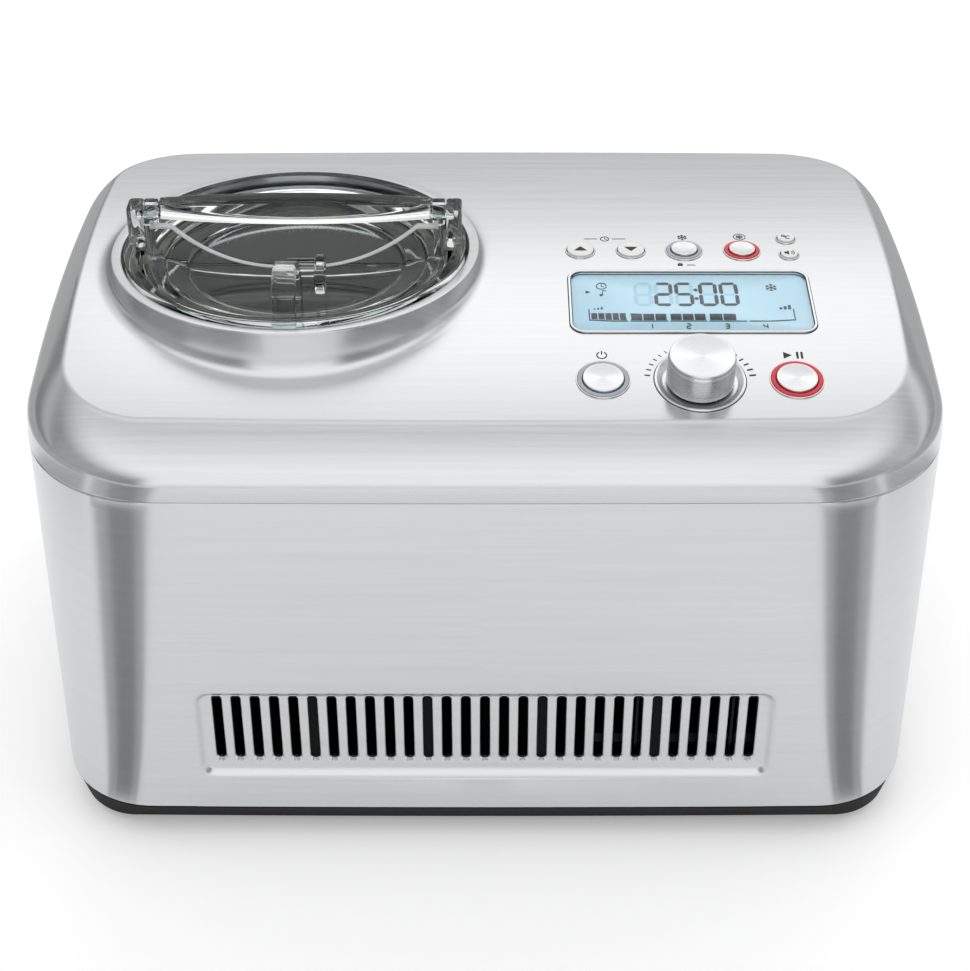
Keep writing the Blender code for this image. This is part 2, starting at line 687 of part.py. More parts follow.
def make_cover(finish):
    """The crowned top, its shoulder, the raised collar and the openings for the controls."""
    outer, inner = cover_rings(0.0, 0.0), cover_rings(SHEET, SHEET)
    inner[0] = level(body_outline(0.2 + SHEET, CORNER_AT_SEAM), SEAM_HEIGHT + GAP)
    cover = loft("top_cover", inner[::-1] + outer, finish)
    cut_low, cut_high = SEAM_HEIGHT, CROWN_HEIGHT + 30
    mouth = place(cylinder("mouth", LIP_RADIUS + 0.8, cut_low, cut_high, None, 44), (BOWL_X, 0, 0))
    cuts = [shape_of(mouth)]
    for name, x, y, cap, ring in buttons():
        cuts.append(on_crown(round_cutter((ring or cap) + GAP), x, y))
    cuts.append(on_crown(round_cutter(DISH_RADIUS + GAP), PANEL_X, LOWER_ROW_Y))
    rim = FRAME_WIDTH + GAP
    outline = rounded_rectangle(WINDOW_WIDTH / 2 + rim, WINDOW_DEPTH / 2 + rim, WINDOW_CORNER + rim, 5)
    cuts.append(on_crown(lambda: prism("cut", outline, -8, 8, None), PANEL_X, WINDOW_Y))
    combine(cover, merged("cover_openings", cuts, None), "DIFFERENCE")
    collar = rings_mesh(collar_loops(), closed=True)
    combine(cover, merged("collar", [collar], None), "UNION")


# ---------------------------------------------------------------- controls
def buttons():
    """Name, place, cap radius and light ring radius (None without one) of each button."""
    side = 41.0
    return [
        ("power_button", PANEL_X - side, LOWER_ROW_Y, BIG_CAP_RADIUS, BIG_RING_RADIUS),
        ("start_pause_button", PANEL_X + side, LOWER_ROW_Y, BIG_CAP_RADIUS, BIG_RING_RADIUS),
        ("pre_cool_button", PANEL_X, UPPER_ROW_Y, SMALL_CAP_RADIUS, SMALL_RING_RADIUS),
        ("keep_cool_button", PANEL_X + 26.5, UPPER_ROW_Y, SMALL_CAP_RADIUS, SMALL_RING_RADIUS),
        ("timer_up_button", PANEL_X - 47.4, UPPER_ROW_Y, TIMER_RADIUS, None),
        ("timer_down_button", PANEL_X - 24.3, UPPER_ROW_Y, TIMER_RADIUS, None),
        ("unit_button", PANEL_X + 47.7, UPPER_ROW_Y + 10.6, OPTION_RADIUS, None),
        ("sound_button", PANEL_X + 47.7, UPPER_ROW_Y - 3.4, OPTION_RADIUS, None),
    ]


def surface_frame(name, x, y):
    """An empty on the top face, its Z along the face's normal."""
    empty = bpy.data.objects.new(name, None)
    bpy.context.scene.collection.objects.link(empty)
    return place(empty, (x, y, crown(y)), (crown_angle(y), 0, 0))


def make_buttons(finishes):
    rings = {
        "power_button": ("power_light_ring", "clear_ring"),
        "start_pause_button": ("start_light_ring", "red_ring"),
        "pre_cool_button": ("pre_cool_light_ring", "clear_ring"),
        "keep_cool_button": ("keep_cool_light_ring", "red_ring"),
    }
    for name, x, y, cap, ring in buttons():
        frame = surface_frame(name + "_frame", x, y)
        proud = BUTTON_PROUD if ring else PLAIN_PROUD
        stem = 2.0 if cap > 5 else 1.5
        edge = 0.5
        profile = [
            (0, -9), (stem, -9), (stem, -3), (cap - GAP, -3), (cap - GAP, proud - edge),
            (cap - GAP - edge, proud), (0, proud),
        ]
        finish = finishes["spun_aluminium"] if ring else finishes["white_button"]
        place(turned(name, profile, finish, 18), parent=frame)
        if ring:
            ring_name, ring_finish = rings[name]
            loop = [
                (cap, -2.4), (ring, -2.4), (ring, 0.5), (ring - 0.5, 0.9), (cap + 0.4, 0.9), (cap, 0.5),
            ]
            place(turned(ring_name, loop, finishes[ring_finish], 20, loop=True), parent=frame)


def make_dial(finishes):
    frame = surface_frame("dial_frame", PANEL_X, LOWER_ROW_Y)
    shaft_top = KNOB_HEIGHT - 4.0
    bore = SHAFT_RADIUS + GAP
    dish = [
        (bore, -2.6), (DISH_RADIUS, -2.6), (DISH_RADIUS, 0.5), (DISH_RADIUS - 0.8, 0.8),
        (KNOB_RADIUS + 0.8, -1.2), (bore, -1.2),
    ]
    place(turned("dial_dish", dish, finishes["spun_aluminium"], 28, loop=True), parent=frame)
    knob = [
        (0, shaft_top + GAP), (bore, shaft_top + GAP), (bore, 0.0), (KNOB_RADIUS, 0.0),
        (KNOB_RADIUS, KNOB_HEIGHT - 1.0), (KNOB_RADIUS - 1.0, KNOB_HEIGHT), (0, KNOB_HEIGHT),
    ]
    place(turned("dial_knob", knob, finishes["spun_aluminium"], 28), parent=frame)
    encoder = [
        (0, -11), (8, -11), (8, -3.2), (SHAFT_RADIUS, -3.2), (SHAFT_RADIUS, shaft_top),
        (0, shaft_top),
    ]
    place(turned("dial_encoder", encoder, finishes["steel"], 16), parent=frame)


def make_display(finishes):
    frame = surface_frame("display_frame", PANEL_X, WINDOW_Y)
    half_x, half_y = WINDOW_WIDTH / 2, WINDOW_DEPTH / 2
    pane = rounded_rectangle(half_x - GAP, half_y - GAP, WINDOW_CORNER - GAP, 5)
    place(prism("display_window", pane, -2.0, 0.1, finishes["clear_plastic"]), parent=frame)
    rim = FRAME_WIDTH
    outer = rounded_rectangle(half_x + rim, half_y + rim, WINDOW_CORNER + rim, 5)
    inner = rounded_rectangle(half_x, half_y, WINDOW_CORNER, 5)
    rings = [level(o, z) for o, z in ((inner, -2.6), (outer, -2.6), (outer, 0.5), (inner, 0.5))]
    place(loft("display_frame_ring", rings, finishes["spun_aluminium"], closed=True), parent=frame)
    module = block("lcd_module", (-half_x + 4, -half_y + 3, -8), (half_x - 4, half_y - 3, -2.9),
                   finishes["lit_display"], 0.5)
    place(module, parent=frame)
    board_frame = surface_frame("board_frame", PANEL_X, WINDOW_Y)
    low, high = (-60, -74, -14.0 - BOARD_THICKNESS), (60, 58, -14.0)
    board = block("display_board", low, high, finishes["circuit_board"])
    place(board, parent=board_frame)


# ---------------------------------------------------------------- bowl, chamber and drive
def make_chamber(finishes):
    bottom, bore = CHAMBER_BOTTOM, SPINDLE_RADIUS + 4.5
    top = BOWL_TOP - BOWL_RIM - 1.0
    profile = [
        (bore, bottom), (CHAMBER_OUTER, bottom), (CHAMBER_OUTER, top - 1.5),
        (CHAMBER_OUTER + CHAMBER_FLANGE, top - 1.5), (CHAMBER_OUTER + CHAMBER_FLANGE, top),
        (CHAMBER_INNER, top), (CHAMBER_INNER, bottom + CHAMBER_WALL), (bore, bottom + CHAMBER_WALL),
    ]
    made = turned("freezing_chamber", profile, finishes["anodised_aluminium"], 32, loop=True)
    place(made, (BOWL_X, 0, 0))

    start = bottom + 12
    count = COIL_TURNS * COIL_SIDES
    path = []
    for k in range(count + 1):
        t = 2 * math.pi * k / COIL_SIDES
        height = start + COIL_RISE * k / COIL_SIDES
        path.append((COIL_RADIUS * math.cos(t), COIL_RADIUS * math.sin(t), height))
    place(tube("evaporator_coil", path, COIL_TUBE, finishes["copper"], 6), (BOWL_X, 0, 0))

    outer, floor = JACKET_INNER + JACKET_WALL, JACKET_BOTTOM
    jacket_top = top - 1.5 - GAP
    profile = [
        (bore + 6, floor), (outer, floor), (outer, jacket_top), (JACKET_INNER, jacket_top),
        (JACKET_INNER, floor + JACKET_WALL), (bore + 6, floor + JACKET_WALL),
    ]
    made = turned("insulation_jacket", profile, finishes["foam"], JACKET_SIDES, loop=True)
    place(made, (BOWL_X, 0, 0))

    low = GEARBOX_TOP + GAP
    seat = SPINDLE_RADIUS + GAP
    profile = [
        (seat, low), (bore + 4, low), (bore + 4, bottom - GAP), (bore - GAP, bottom - GAP),
        (bore - GAP, bottom + CHAMBER_WALL), (seat, bottom + CHAMBER_WALL),
    ]
    made = turned("spindle_bush", profile, finishes["bronze"], 16, loop=True)
    place(made, (BOWL_X, 0, 0))


def make_bowl(finishes):
    bottom, top, inner = BOWL_BOTTOM, BOWL_TOP, BOWL_RADIUS - BOWL_WALL
    chimney_in = CHIMNEY_RADIUS - BOWL_WALL
    high = bottom + CHIMNEY_HEIGHT
    profile = [
        (chimney_in, bottom), (BOWL_RADIUS - 4, bottom), (BOWL_RADIUS, bottom + 4),
        (BOWL_RADIUS, top - BOWL_WALL), (BOWL_RADIUS + BOWL_RIM, top - BOWL_WALL),
        (BOWL_RADIUS + BOWL_RIM, top), (inner, top), (inner, bottom + 5),
        (inner - 3.5, bottom + BOWL_WALL), (CHIMNEY_RADIUS, bottom + BOWL_WALL), (CHIMNEY_RADIUS, high),
        (chimney_in, high),
    ]
    bowl = turned("ice_cream_bowl", profile, finishes["anodised_aluminium"], 32, loop=True)
    place(bowl, (BOWL_X, 0, 0))

    wire, hang = 1.6, top - 7.0
    reach = inner - wire - 2.2
    pivot = Vector((BOWL_X, 0, hang))
    bail = []
    for k in range(19):
        t = math.pi * k / 18
        bail.append((reach * math.cos(t), reach * math.sin(t), 0))
    place(tube("bowl_handle", bail, wire, finishes["steel"], 6), pivot)


def paddle_blade():
    """Outline of one open blade in the X and Z of the paddle, from the hub to the bowl's wall."""
    low, high, reach = 3.0, PADDLE_TOP, PADDLE_REACH
    outer = [
        (HUB_RADIUS - 4, low), (reach - 6, low), (reach, low + 6), (reach, high - 14),
        (reach - 5, high - 6), (reach - 16, high - 6), (reach - 26, 56), (HUB_RADIUS + 8, 50),
        (HUB_RADIUS - 4, 50),
    ]
    window = [
        (HUB_RADIUS + 8, low + 8), (reach - 12, low + 8), (reach - 8, low + 12), (reach - 8, high - 20),
        (reach - 15, high - 18), (reach - 20, 44), (HUB_RADIUS + 10, 38), (HUB_RADIUS + 8, 30),
    ]
    return outer, window


def make_paddle(finishes):
    """A hub that drops over the chimney, with two open blades that scrape the bowl."""
    bore = CHIMNEY_RADIUS + 0.8
    socket = HEX_RADIUS + 0.5
    ledge, socket_top = CHIMNEY_HEIGHT + 1.2, CHIMNEY_HEIGHT + 16.0
    profile = [
        (0, socket_top), (socket, socket_top), (socket, ledge), (bore, ledge), (bore, 3.0),
        (HUB_RADIUS, 3.0), (HUB_RADIUS, 46), (10, 56), (4, 60), (0, 60),
    ]
    paddle = turned("paddle", profile, finishes["paddle_plastic"], 24)
    half = PADDLE_THICKNESS / 2
    outer, window = paddle_blade()
    blades, windows = [], []
    for side in (1, -1):
        blades.append(upright_prism([(side * x, z) for x, z in outer], -half, half))
        windows.append(upright_prism([(side * x, z) for x, z in window], -half - 5, half + 5))
    guard = shape_of(cylinder("guard", bore + 0.2, -5, ledge, None, 24))
    cutter = merged("paddle_windows", windows, None)
    blade = merged("paddle_blades", blades, None)
    combine(blade, cutter, "DIFFERENCE")
    core = merged("paddle_core", [guard], None)
    combine(blade, core, "DIFFERENCE")
    combine(paddle, blade, "UNION")
    place(paddle, (BOWL_X, 0, BOWL_BOTTOM + BOWL_WALL), (0, 0, math.radians(35)))
    for tool in (cutter, blade, core):
        tool.parent = paddle


def gear_outline(teeth, phase):
    """Trapezoid teeth on a pitch circle, thinned so that a pair runs with backlash."""
    pitch_r = GEAR_MODULE * teeth / 2
    tip, root = pitch_r + 0.9 * GEAR_MODULE, pitch_r - 1.2 * GEAR_MODULE
    step = 2 * math.pi / teeth
    outline = []
    for k in range(teeth):
        middle = phase + k * step
        for radius, share in ((root, -0.30), (tip, -0.11), (tip, 0.11), (root, 0.30)):
            t = middle + share * step
            outline.append((radius * math.cos(t), radius * math.sin(t)))
    return outline


def gear(name, layers, bore, finish):
    """Gear layers (teeth, phase, low, high) on one hub, about the object's own Z."""
    first = layers[0]
    made = prism(name, gear_outline(first[0], first[1]), first[2], first[3], finish)
    for teeth, phase, low, high in layers[1:]:
        points, faces = rings_mesh([level(gear_outline(teeth, phase), z) for z in (low, high)])
        extra = merged(name + "_layer", [(points, faces)], None)
        combine(made, extra, "UNION")
        extra.parent = made
    low, high = min(layer[2] for layer in layers), max(layer[3] for layer in layers)
    hole = cylinder(name + "_bore", bore, low - 5, high + 5, None, 16)
    combine(made, hole, "DIFFERENCE")
    hole.parent = made
    return made


def drive_places():
    """Axes of the output gear, the intermediate wheel and the motor pinion."""
    near = GEAR_MODULE * (OUTPUT_TEETH + SMALL_TEETH) / 2
    far = GEAR_MODULE * (WHEEL_TEETH + PINION_TEETH) / 2
    wheel = (BOWL_X, -near)
    return (BOWL_X, 0.0), wheel, (BOWL_X + far, -near)


def make_drive(finishes):
    output, wheel, pinion = drive_places()
    low = GEARBOX_BOTTOM + GEARBOX_WALL + 2
    upper = GEARBOX_TOP - GEARBOX_WALL - 1 - GEAR_WIDTH
    half_small, half_pinion = math.pi / SMALL_TEETH, math.pi / PINION_TEETH

    shoulder = BOWL_BOTTOM + CHIMNEY_HEIGHT + 2.0
    spindle = [(0, low), (SPINDLE_RADIUS, low), (SPINDLE_RADIUS, shoulder), (0, shoulder)]
    made = turned("drive_spindle", spindle, finishes["steel"], 16)
    top = BOWL_BOTTOM + BOWL_WALL + CHIMNEY_HEIGHT + 15.0
    head = cylinder("spindle_head", HEX_RADIUS, shoulder - 0.4, top, None, 6)
    combine(made, head, "UNION")
    head.parent = made
    place(made, (*output, 0))

    layers = [(OUTPUT_TEETH, -math.pi / 2, upper, upper + GEAR_WIDTH)]
    place(gear("output_gear", layers, SPINDLE_RADIUS + GAP, finishes["nylon"]), (*output, 0))
    layers = [(WHEEL_TEETH, 0.0, low + 2, low + 2 + GEAR_WIDTH),
              (SMALL_TEETH, math.pi / 2 + half_small, low + 1 + GEAR_WIDTH, upper + GEAR_WIDTH)]
    place(gear("intermediate_gear", layers, AXLE_RADIUS + GAP, finishes["nylon"]), (*wheel, 0))
    axle_top = GEARBOX_TOP - GEARBOX_WALL - GAP
    axle = cylinder("intermediate_axle", AXLE_RADIUS, low - 1.7, axle_top, finishes["steel"], 16)
    place(axle, (*wheel, 0))
    layers = [(PINION_TEETH, math.pi + half_pinion, low + 1, low + 3 + GEAR_WIDTH)]
    place(gear("motor_pinion", layers, AXLE_RADIUS + GAP, finishes["steel"]), (*pinion, 0))

    can_top = GEARBOX_BOTTOM - GAP
    can_low, shaft_top = can_top - MOTOR_HEIGHT, low + 3 + GEAR_WIDTH
    motor = [
        (0, can_low), (MOTOR_RADIUS - 2, can_low), (MOTOR_RADIUS, can_low + 2), (MOTOR_RADIUS, can_top),
        (AXLE_RADIUS, can_top), (AXLE_RADIUS, shaft_top), (0, shaft_top),
    ]
    place(turned("drive_motor", motor, finishes["steel"], 20), (*pinion, 0))

    reach = GEAR_MODULE * (OUTPUT_TEETH / 2 + 1) + 2
    wheel_reach = GEAR_MODULE * (WHEEL_TEETH / 2 + 1) + 2
    x0, x1 = BOWL_X - reach - GEARBOX_WALL, max(pinion[0] + 12, BOWL_X + reach) + GEARBOX_WALL
    y0, y1 = wheel[1] - wheel_reach - GEARBOX_WALL, reach + GEARBOX_WALL
    middle = ((x0 + x1) / 2, (y0 + y1) / 2, 0)
    half_x, half_y = (x1 - x0) / 2, (y1 - y0) / 2
    outer = rounded_rectangle(half_x, half_y, 12, 4)
    inner = rounded_rectangle(half_x - GEARBOX_WALL, half_y - GEARBOX_WALL, 12 - GEARBOX_WALL, 4)
    bottom = GEARBOX_BOTTOM + GEARBOX_WALL + GAP
    rings = [level(inner, GEARBOX_TOP - GEARBOX_WALL), level(inner, bottom), level(outer, bottom),
             level(outer, GEARBOX_TOP)]
    housing = place(loft("gearbox_housing", rings, finishes["black_plastic"]), middle)
    cut_low, cut_high = GEARBOX_BOTTOM - 5, GEARBOX_TOP + 5
    hole = cylinder("housing_bore", SPINDLE_RADIUS + 0.8, cut_low, cut_high, None, 20)
    place(hole, (*output, 0))
    combine(housing, hole, "DIFFERENCE")
    plate = place(prism("gearbox_plate", outer, GEARBOX_BOTTOM, GEARBOX_BOTTOM + GEARBOX_WALL,
                        finishes["black_plastic"]), middle)
    hole = cylinder("plate_bore", 2 * AXLE_RADIUS, cut_low, cut_high, None, 20)
    place(hole, (*pinion, 0))
    combine(plate, hole, "DIFFERENCE")


# ---------------------------------------------------------------- lid
def lid_frame():
    empty = bpy.data.objects.new("lid_frame", None)
    bpy.context.scene.collection.objects.link(empty)
    return place(empty, (BOWL_X, 0, MOUTH_HEIGHT), (-LID_TILT, 0, 0))


def half_disc(radius, edge, low, high):
    """Shape of a disc cut off along Y = edge, keeping its front."""
    rise = math.asin(edge / radius)
    angles = np.linspace(math.pi - rise, 2 * math.pi + rise, 28)
    outline = [(radius * math.cos(t), radius * math.sin(t)) for t in angles]
    return rings_mesh([level(outline, z) for z in (low, high)])


def bar_along_x(radius, x_low, x_high, y, z, sides=16):
    """Shape of a round bar along X."""
    angles = [2 * math.pi * k / sides for k in range(sides)]
    section = [(y + radius * math.cos(t), z + radius * math.sin(t)) for t in angles]
    return rings_mesh([[(x, u, v) for u, v in section] for x in (x_low, x_high)])


def make_lid(finishes, frame):
    clear = finishes["clear_plastic"]
    low = LID_PLATE_TOP - LID_PLATE
    profile = [
        (0, low), (LID_RADIUS - 2.5, low), (LID_RADIUS - 2.5, -LID_SKIRT), (LID_RADIUS, -LID_SKIRT),
        (LID_RADIUS, LID_RIM_TOP), (LID_RADIUS - 5, LID_RIM_TOP),
        (HATCH_OPENING + 0.6, LID_PLATE_TOP), (0, LID_PLATE_TOP),
    ]
    lid = turned("lid", profile, clear, 44)
    cutter = half_disc(HATCH_OPENING, 0.8, low - 5, LID_RIM_TOP + 5)
    opening = merged("hatch_opening", [cutter], None)
    combine(lid, opening, "DIFFERENCE")
    posts = []
    for side in (-1, 1):
        x0, x1 = sorted((side * POST_X, side * (POST_X + POST_WIDTH)))
        corners = (x0, POST_FRONT, LID_RIM_TOP - 2), (x1, POST_REAR, POST_TOP)
        posts.append(shape_of(block("post", *corners, None)))
    posts_tool = merged("lid_posts", posts, None)
    combine(lid, posts_tool, "UNION")
    bores = []
    for side in (-1, 1):
        ends = sorted((side * (POST_X - 3), side * (POST_X + 4)))
        bores.append(bar_along_x(HINGE_PIN + GAP, *ends, HINGE_Y, HINGE_HEIGHT))
    bores_tool = merged("post_bores", bores, None)
    combine(lid, bores_tool, "DIFFERENCE")
    for made in (lid, opening, posts_tool, bores_tool):
        place(made, parent=frame)


def make_grip(finishes, frame):
    """A bar across the lid, tallest in its middle; its round ends are the hatch's hinge pins."""
    rings = []
    sides = 14
    for share in np.linspace(-1, 1, 9):
        arch = 1 - share**2
        low, high = GRIP_LOW - GRIP_DROP * arch, GRIP_HIGH + GRIP_RISE * arch
        middle, half_h = (low + high) / 2, (high - low) / 2
        half_w = (GRIP_DEPTH - GRIP_NARROWING * arch) / 2
        ring = []
        for k in range(sides):
            t = 2 * math.pi * k / sides
            c, s = math.cos(t), math.sin(t)
            ring.append((share * GRIP_HALF_LENGTH,
                         GRIP_REAR - half_w + half_w * math.copysign(abs(c) ** 0.5, c),
                         middle + half_h * math.copysign(abs(s) ** 0.5, s)))
        rings.append(ring)
    grip = loft("lid_handle", rings, finishes["clear_plastic"])
    end = POST_X + 3.4
    pins = merged("grip_pins", [bar_along_x(HINGE_PIN, -end, end, HINGE_Y, HINGE_HEIGHT)], None)
    combine(grip, pins, "UNION")
    place(grip, parent=frame)
    place(pins, parent=frame)


def make_hatch(finishes, frame):
    """The front half of the lid, on two barrels round the grip's pins, with a pull loop."""
    hinge = bpy.data.objects.new("hatch_hinge", None)
    bpy.context.scene.collection.objects.link(hinge)
    place(hinge, (0, HINGE_Y, HINGE_HEIGHT), parent=frame)
    low = LID_PLATE_TOP - LID_PLATE

    def shifted(shape):
        points, faces = shape
        return [(x, y - HINGE_Y, z - HINGE_HEIGHT) for x, y, z in points], faces

    plate = shifted(half_disc(HATCH_OPENING - HATCH_CLEARANCE, 0.2, low, LID_PLATE_TOP))
    hatch = mesh_object("lid_hatch", *plate, finishes["clear_plastic"])
    inner = POST_X - SLIDE_GAP
    start = inner - BARREL_LENGTH
    barrels, arms, bores = [], [], []
    for side in (-1, 1):
        ends = sorted((side * start, side * inner))
        barrels.append(shifted(bar_along_x(BARREL_RADIUS, *ends, HINGE_Y, HINGE_HEIGHT)))
        bore = bar_along_x(HINGE_PIN + GAP, ends[0] - 2, ends[1] + 2, HINGE_Y, HINGE_HEIGHT)
        bores.append(shifted(bore))
        arm = block("arm", (ends[0] + 0.7, -8, low + 0.5), (ends[1] - 0.7, 0.1, HINGE_HEIGHT), None)
        arms.append(shifted(shape_of(arm)))
    middle, half = (LOOP_FRONT + LOOP_REAR) / 2, (LOOP_REAR - LOOP_FRONT) / 2
    path = [(0, middle - half * math.cos(t), LID_PLATE_TOP - 1.2 + LOOP_HEIGHT * math.sin(t) ** 0.7)
            for t in np.linspace(0, math.pi, 11)]
    loop = shifted(swept_tube(path, LOOP_ROD, 8))
    tools = []
    for name, shapes, operation in (
        ("hatch_barrels", barrels, "UNION"),
        ("hatch_arms", arms, "UNION"),
        ("hatch_loop", [loop], "UNION"),
        ("barrel_bores", bores, "DIFFERENCE"),
    ):
        tool = merged(name, shapes, None)
        combine(hatch, tool, operation)
        tools.append(tool)
    for made in (hatch, *tools):
        place(made, parent=hinge)


# ---------------------------------------------------------------- cooling system
def make_compressor(finishes):
    r, low, h = COMPRESSOR_RADIUS, COMPRESSOR_BOTTOM, COMPRESSOR_HEIGHT
    profile = [
        (0, low), (r + 3, low), (r + 3, low + 3), (r - 4, low + 8), (r, low + h * 0.25),
        (r, low + h * 0.55), (r + 2.5, low + h * 0.55), (r + 2.5, low + h * 0.58),
        (r - 1, low + h * 0.6), (r - 5, low + h * 0.82), (r - 18, low + h * 0.95), (r - 36, low + h),
        (0, low + h),
    ]
    made = turned("compressor", profile, finishes["black_enamel"], 22)
    place(made, (COMPRESSOR_X, COMPRESSOR_Y, 0))


def make_condenser(finishes):
    """Flat fins threaded on tubes, just behind the intake screen."""
    front, depth = condenser_front(), CONDENSER_DEPTH
    x0, x1 = FAN_X - CONDENSER_HALF_LENGTH, FAN_X + CONDENSER_HALF_LENGTH
    z0, z1 = CONDENSER_LOW, CONDENSER_HIGH
    fins = []
    for k in range(CONDENSER_FINS):
        x = x0 + (x1 - x0) * k / (CONDENSER_FINS - 1)
        fin = block("fin", (x - 0.6, front, z0), (x + 0.6, front + depth, z1), None)
        fins.append(shape_of(fin))
    made = merged("condenser", fins, finishes["anodised_aluminium"])
    rows = [bar_along_x(CONDENSER_TUBE, x0 - 6, x1 + 6, front + depth / 2, z, 6)
            for z in np.linspace(z0 + 16, z1 - 16, 3)]
    combine(made, merged("condenser_tubes", rows, None), "UNION")


def condenser_front():
    return WALL_INSET - HALF_D + GRILLE_DEPTH + SHEET + GAP + SCREEN_THICKNESS + 1.5


def fan_plane():
    return condenser_front() + CONDENSER_DEPTH + 2.0


def make_fan(finishes):
    y = fan_plane()
    half, thick = FAN_RADIUS + 7, FAN_THICKNESS
    outline = rounded_rectangle(half, half, 6, 3)
    points, faces = upright_prism([(x + FAN_X, z + FAN_HEIGHT) for x, z in outline], y, y + thick)
    shroud = mesh_object("fan_shroud", points, faces, finishes["black_plastic"])
    bore = FAN_RADIUS + 2
    circle = [(FAN_X + bore * math.cos(t), FAN_HEIGHT + bore * math.sin(t))
              for t in np.linspace(0, 2 * math.pi, 32, endpoint=False)]
    opening = upright_prism(circle, y - 5, y + thick + 5)
    combine(shroud, merged("shroud_bore", [opening], None), "DIFFERENCE")

    fan = cylinder("condenser_fan", 14, -7, 7, finishes["black_plastic"], 24)
    blades = []
    for k in range(FAN_BLADES):
        turn = Euler((0, 0, 2 * math.pi * k / FAN_BLADES)).to_matrix()
        rings = []
        for radius, pitch, chord in ((11, 0.75, 14), (30, 0.55, 20), (FAN_RADIUS, 0.4, 24)):
            along = Vector((0, math.cos(pitch), math.sin(pitch)))
            out = Vector((0, -math.sin(pitch), math.cos(pitch)))
            ring = []
            for u, v in ((-0.5, -0.7), (0.5, -0.7), (0.5, 0.7), (-0.5, 0.7)):
                ring.append(tuple(turn @ (Vector((radius, 0, 0)) + along * chord * u + out * v)))
            rings.append(ring)
        blades.append(rings_mesh(rings))
    tool = merged("fan_blades", blades, None)
    combine(fan, tool, "UNION")
    bore = cylinder("fan_bore", AXLE_RADIUS + GAP, -20, 20, None, 16)
    combine(fan, bore, "DIFFERENCE")
    at, lying = (FAN_X, y + thick / 2, FAN_HEIGHT), (-math.pi / 2, 0, 0)
    place(fan, at, lying)
    tool.parent = fan
    bore.parent = fan

    start = thick / 2 + 1.0
    motor = [
        (0, -6), (AXLE_RADIUS, -6), (AXLE_RADIUS, start), (16, start), (16, start + 16),
        (0, start + 16),
    ]
    place(turned("fan_motor", motor, finishes["steel"], 18), at, lying)


def smooth_path(stops, steps=4):
    """A curve through the stops, bending evenly between them."""
    stops = [np.array(s, float) for s in stops]
    padded = [2 * stops[0] - stops[1], *stops, 2 * stops[-1] - stops[-2]]
    path = []
    for a, b, c, d in zip(padded, padded[1:], padded[2:], padded[3:]):
        for k in range(steps):
            t = k / steps
            path.append(tuple(0.5 * (2 * b + (c - a) * t + (2 * a - 5 * b + 4 * c - d) * t**2
                                     + (3 * b - a - 3 * c + d) * t**3)))
    path.append(tuple(stops[-1]))
    return path


def make_pipes(finishes):
    """Copper lines between the coil, the compressor and the condenser."""
    copper = finishes["copper"]
    top = COMPRESSOR_BOTTOM + COMPRESSOR_HEIGHT
    cx, cy = COMPRESSOR_X, COMPRESSOR_Y
    suction = [
        (cx - 12, cy, top + 1.0), (cx - 12, cy, top + 14), (cx - 40, cy + 10, top + 16),
        (cx - 80, cy + 24, top), (cx - 86, cy + 22, top - 40),
    ]
    tube("suction_line", smooth_path(suction), PIPE_RADIUS, copper, 6)
    edge = FAN_X + CONDENSER_HALF_LENGTH + 6
    y = condenser_front() + 10.0
    discharge = [
        (cx + 12, cy, top + 1.0), (cx + 12, cy, top + 12), (cx + 44, cy - 30, top + 10),
        (edge + 6, cy - 70, top - 4), (edge + 4, y + 14, 120), (edge + 4, y, 100), (edge + 4, y, 60),
    ]
    tube("discharge_line", smooth_path(discharge), PIPE_RADIUS - 0.5, copper, 6)
    drier = [(0, -34), (4, -30), (10, -24), (10, 24), (4, 30), (0, 34)]
    place(turned("filter_drier", drier, copper, 16), (cx - 88, HALF_D - 34, 60))


def make_boards(finishes):
    back = HALF_D - 20
    low = (BOWL_X - 34, back, POWER_BOARD_LOW)
    high = (BOWL_X + 76, back + BOARD_THICKNESS, POWER_BOARD_HIGH)
    block("power_board", low, high, finishes["circuit_board"])


# ---------------------------------------------------------------- build
def main():
    for old in list(bpy.data.objects):
        bpy.data.objects.remove(old)
    finishes = make_materials()
    make_tray(finishes["black_plastic"])
    make_feet(finishes["rubber"])
    make_wall(finishes["brushed_steel"])
    make_rear_pieces(finishes["black_plastic"])
    make_intake_screen(finishes["black_plastic"])
    make_cover(finishes["brushed_steel"])
    make_buttons(finishes)
    make_dial(finishes)
    make_display(finishes)
    make_chamber(finishes)
    make_bowl(finishes)
    make_paddle(finishes)
    make_drive(finishes)
    frame = lid_frame()
    make_lid(finishes, frame)
    make_grip(finishes, frame)
    make_hatch(finishes, frame)
    make_compressor(finishes)
    make_condenser(finishes)
    make_fan(finishes)
    make_pipes(finishes)
    make_boards(finishes)
    bpy.context.view_layer.update()


main()
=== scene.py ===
# %% [markdown]
# # A countertop ice cream maker, surface by surface
#
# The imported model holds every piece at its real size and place. This lesson dresses it: each
# piece that shows gets a finer surface worked out with numpy, and every piece gets a finish
# that starts from what the real material is. Lengths are in millimetres until a mesh is made.

# %% Load the frame
import json
import math

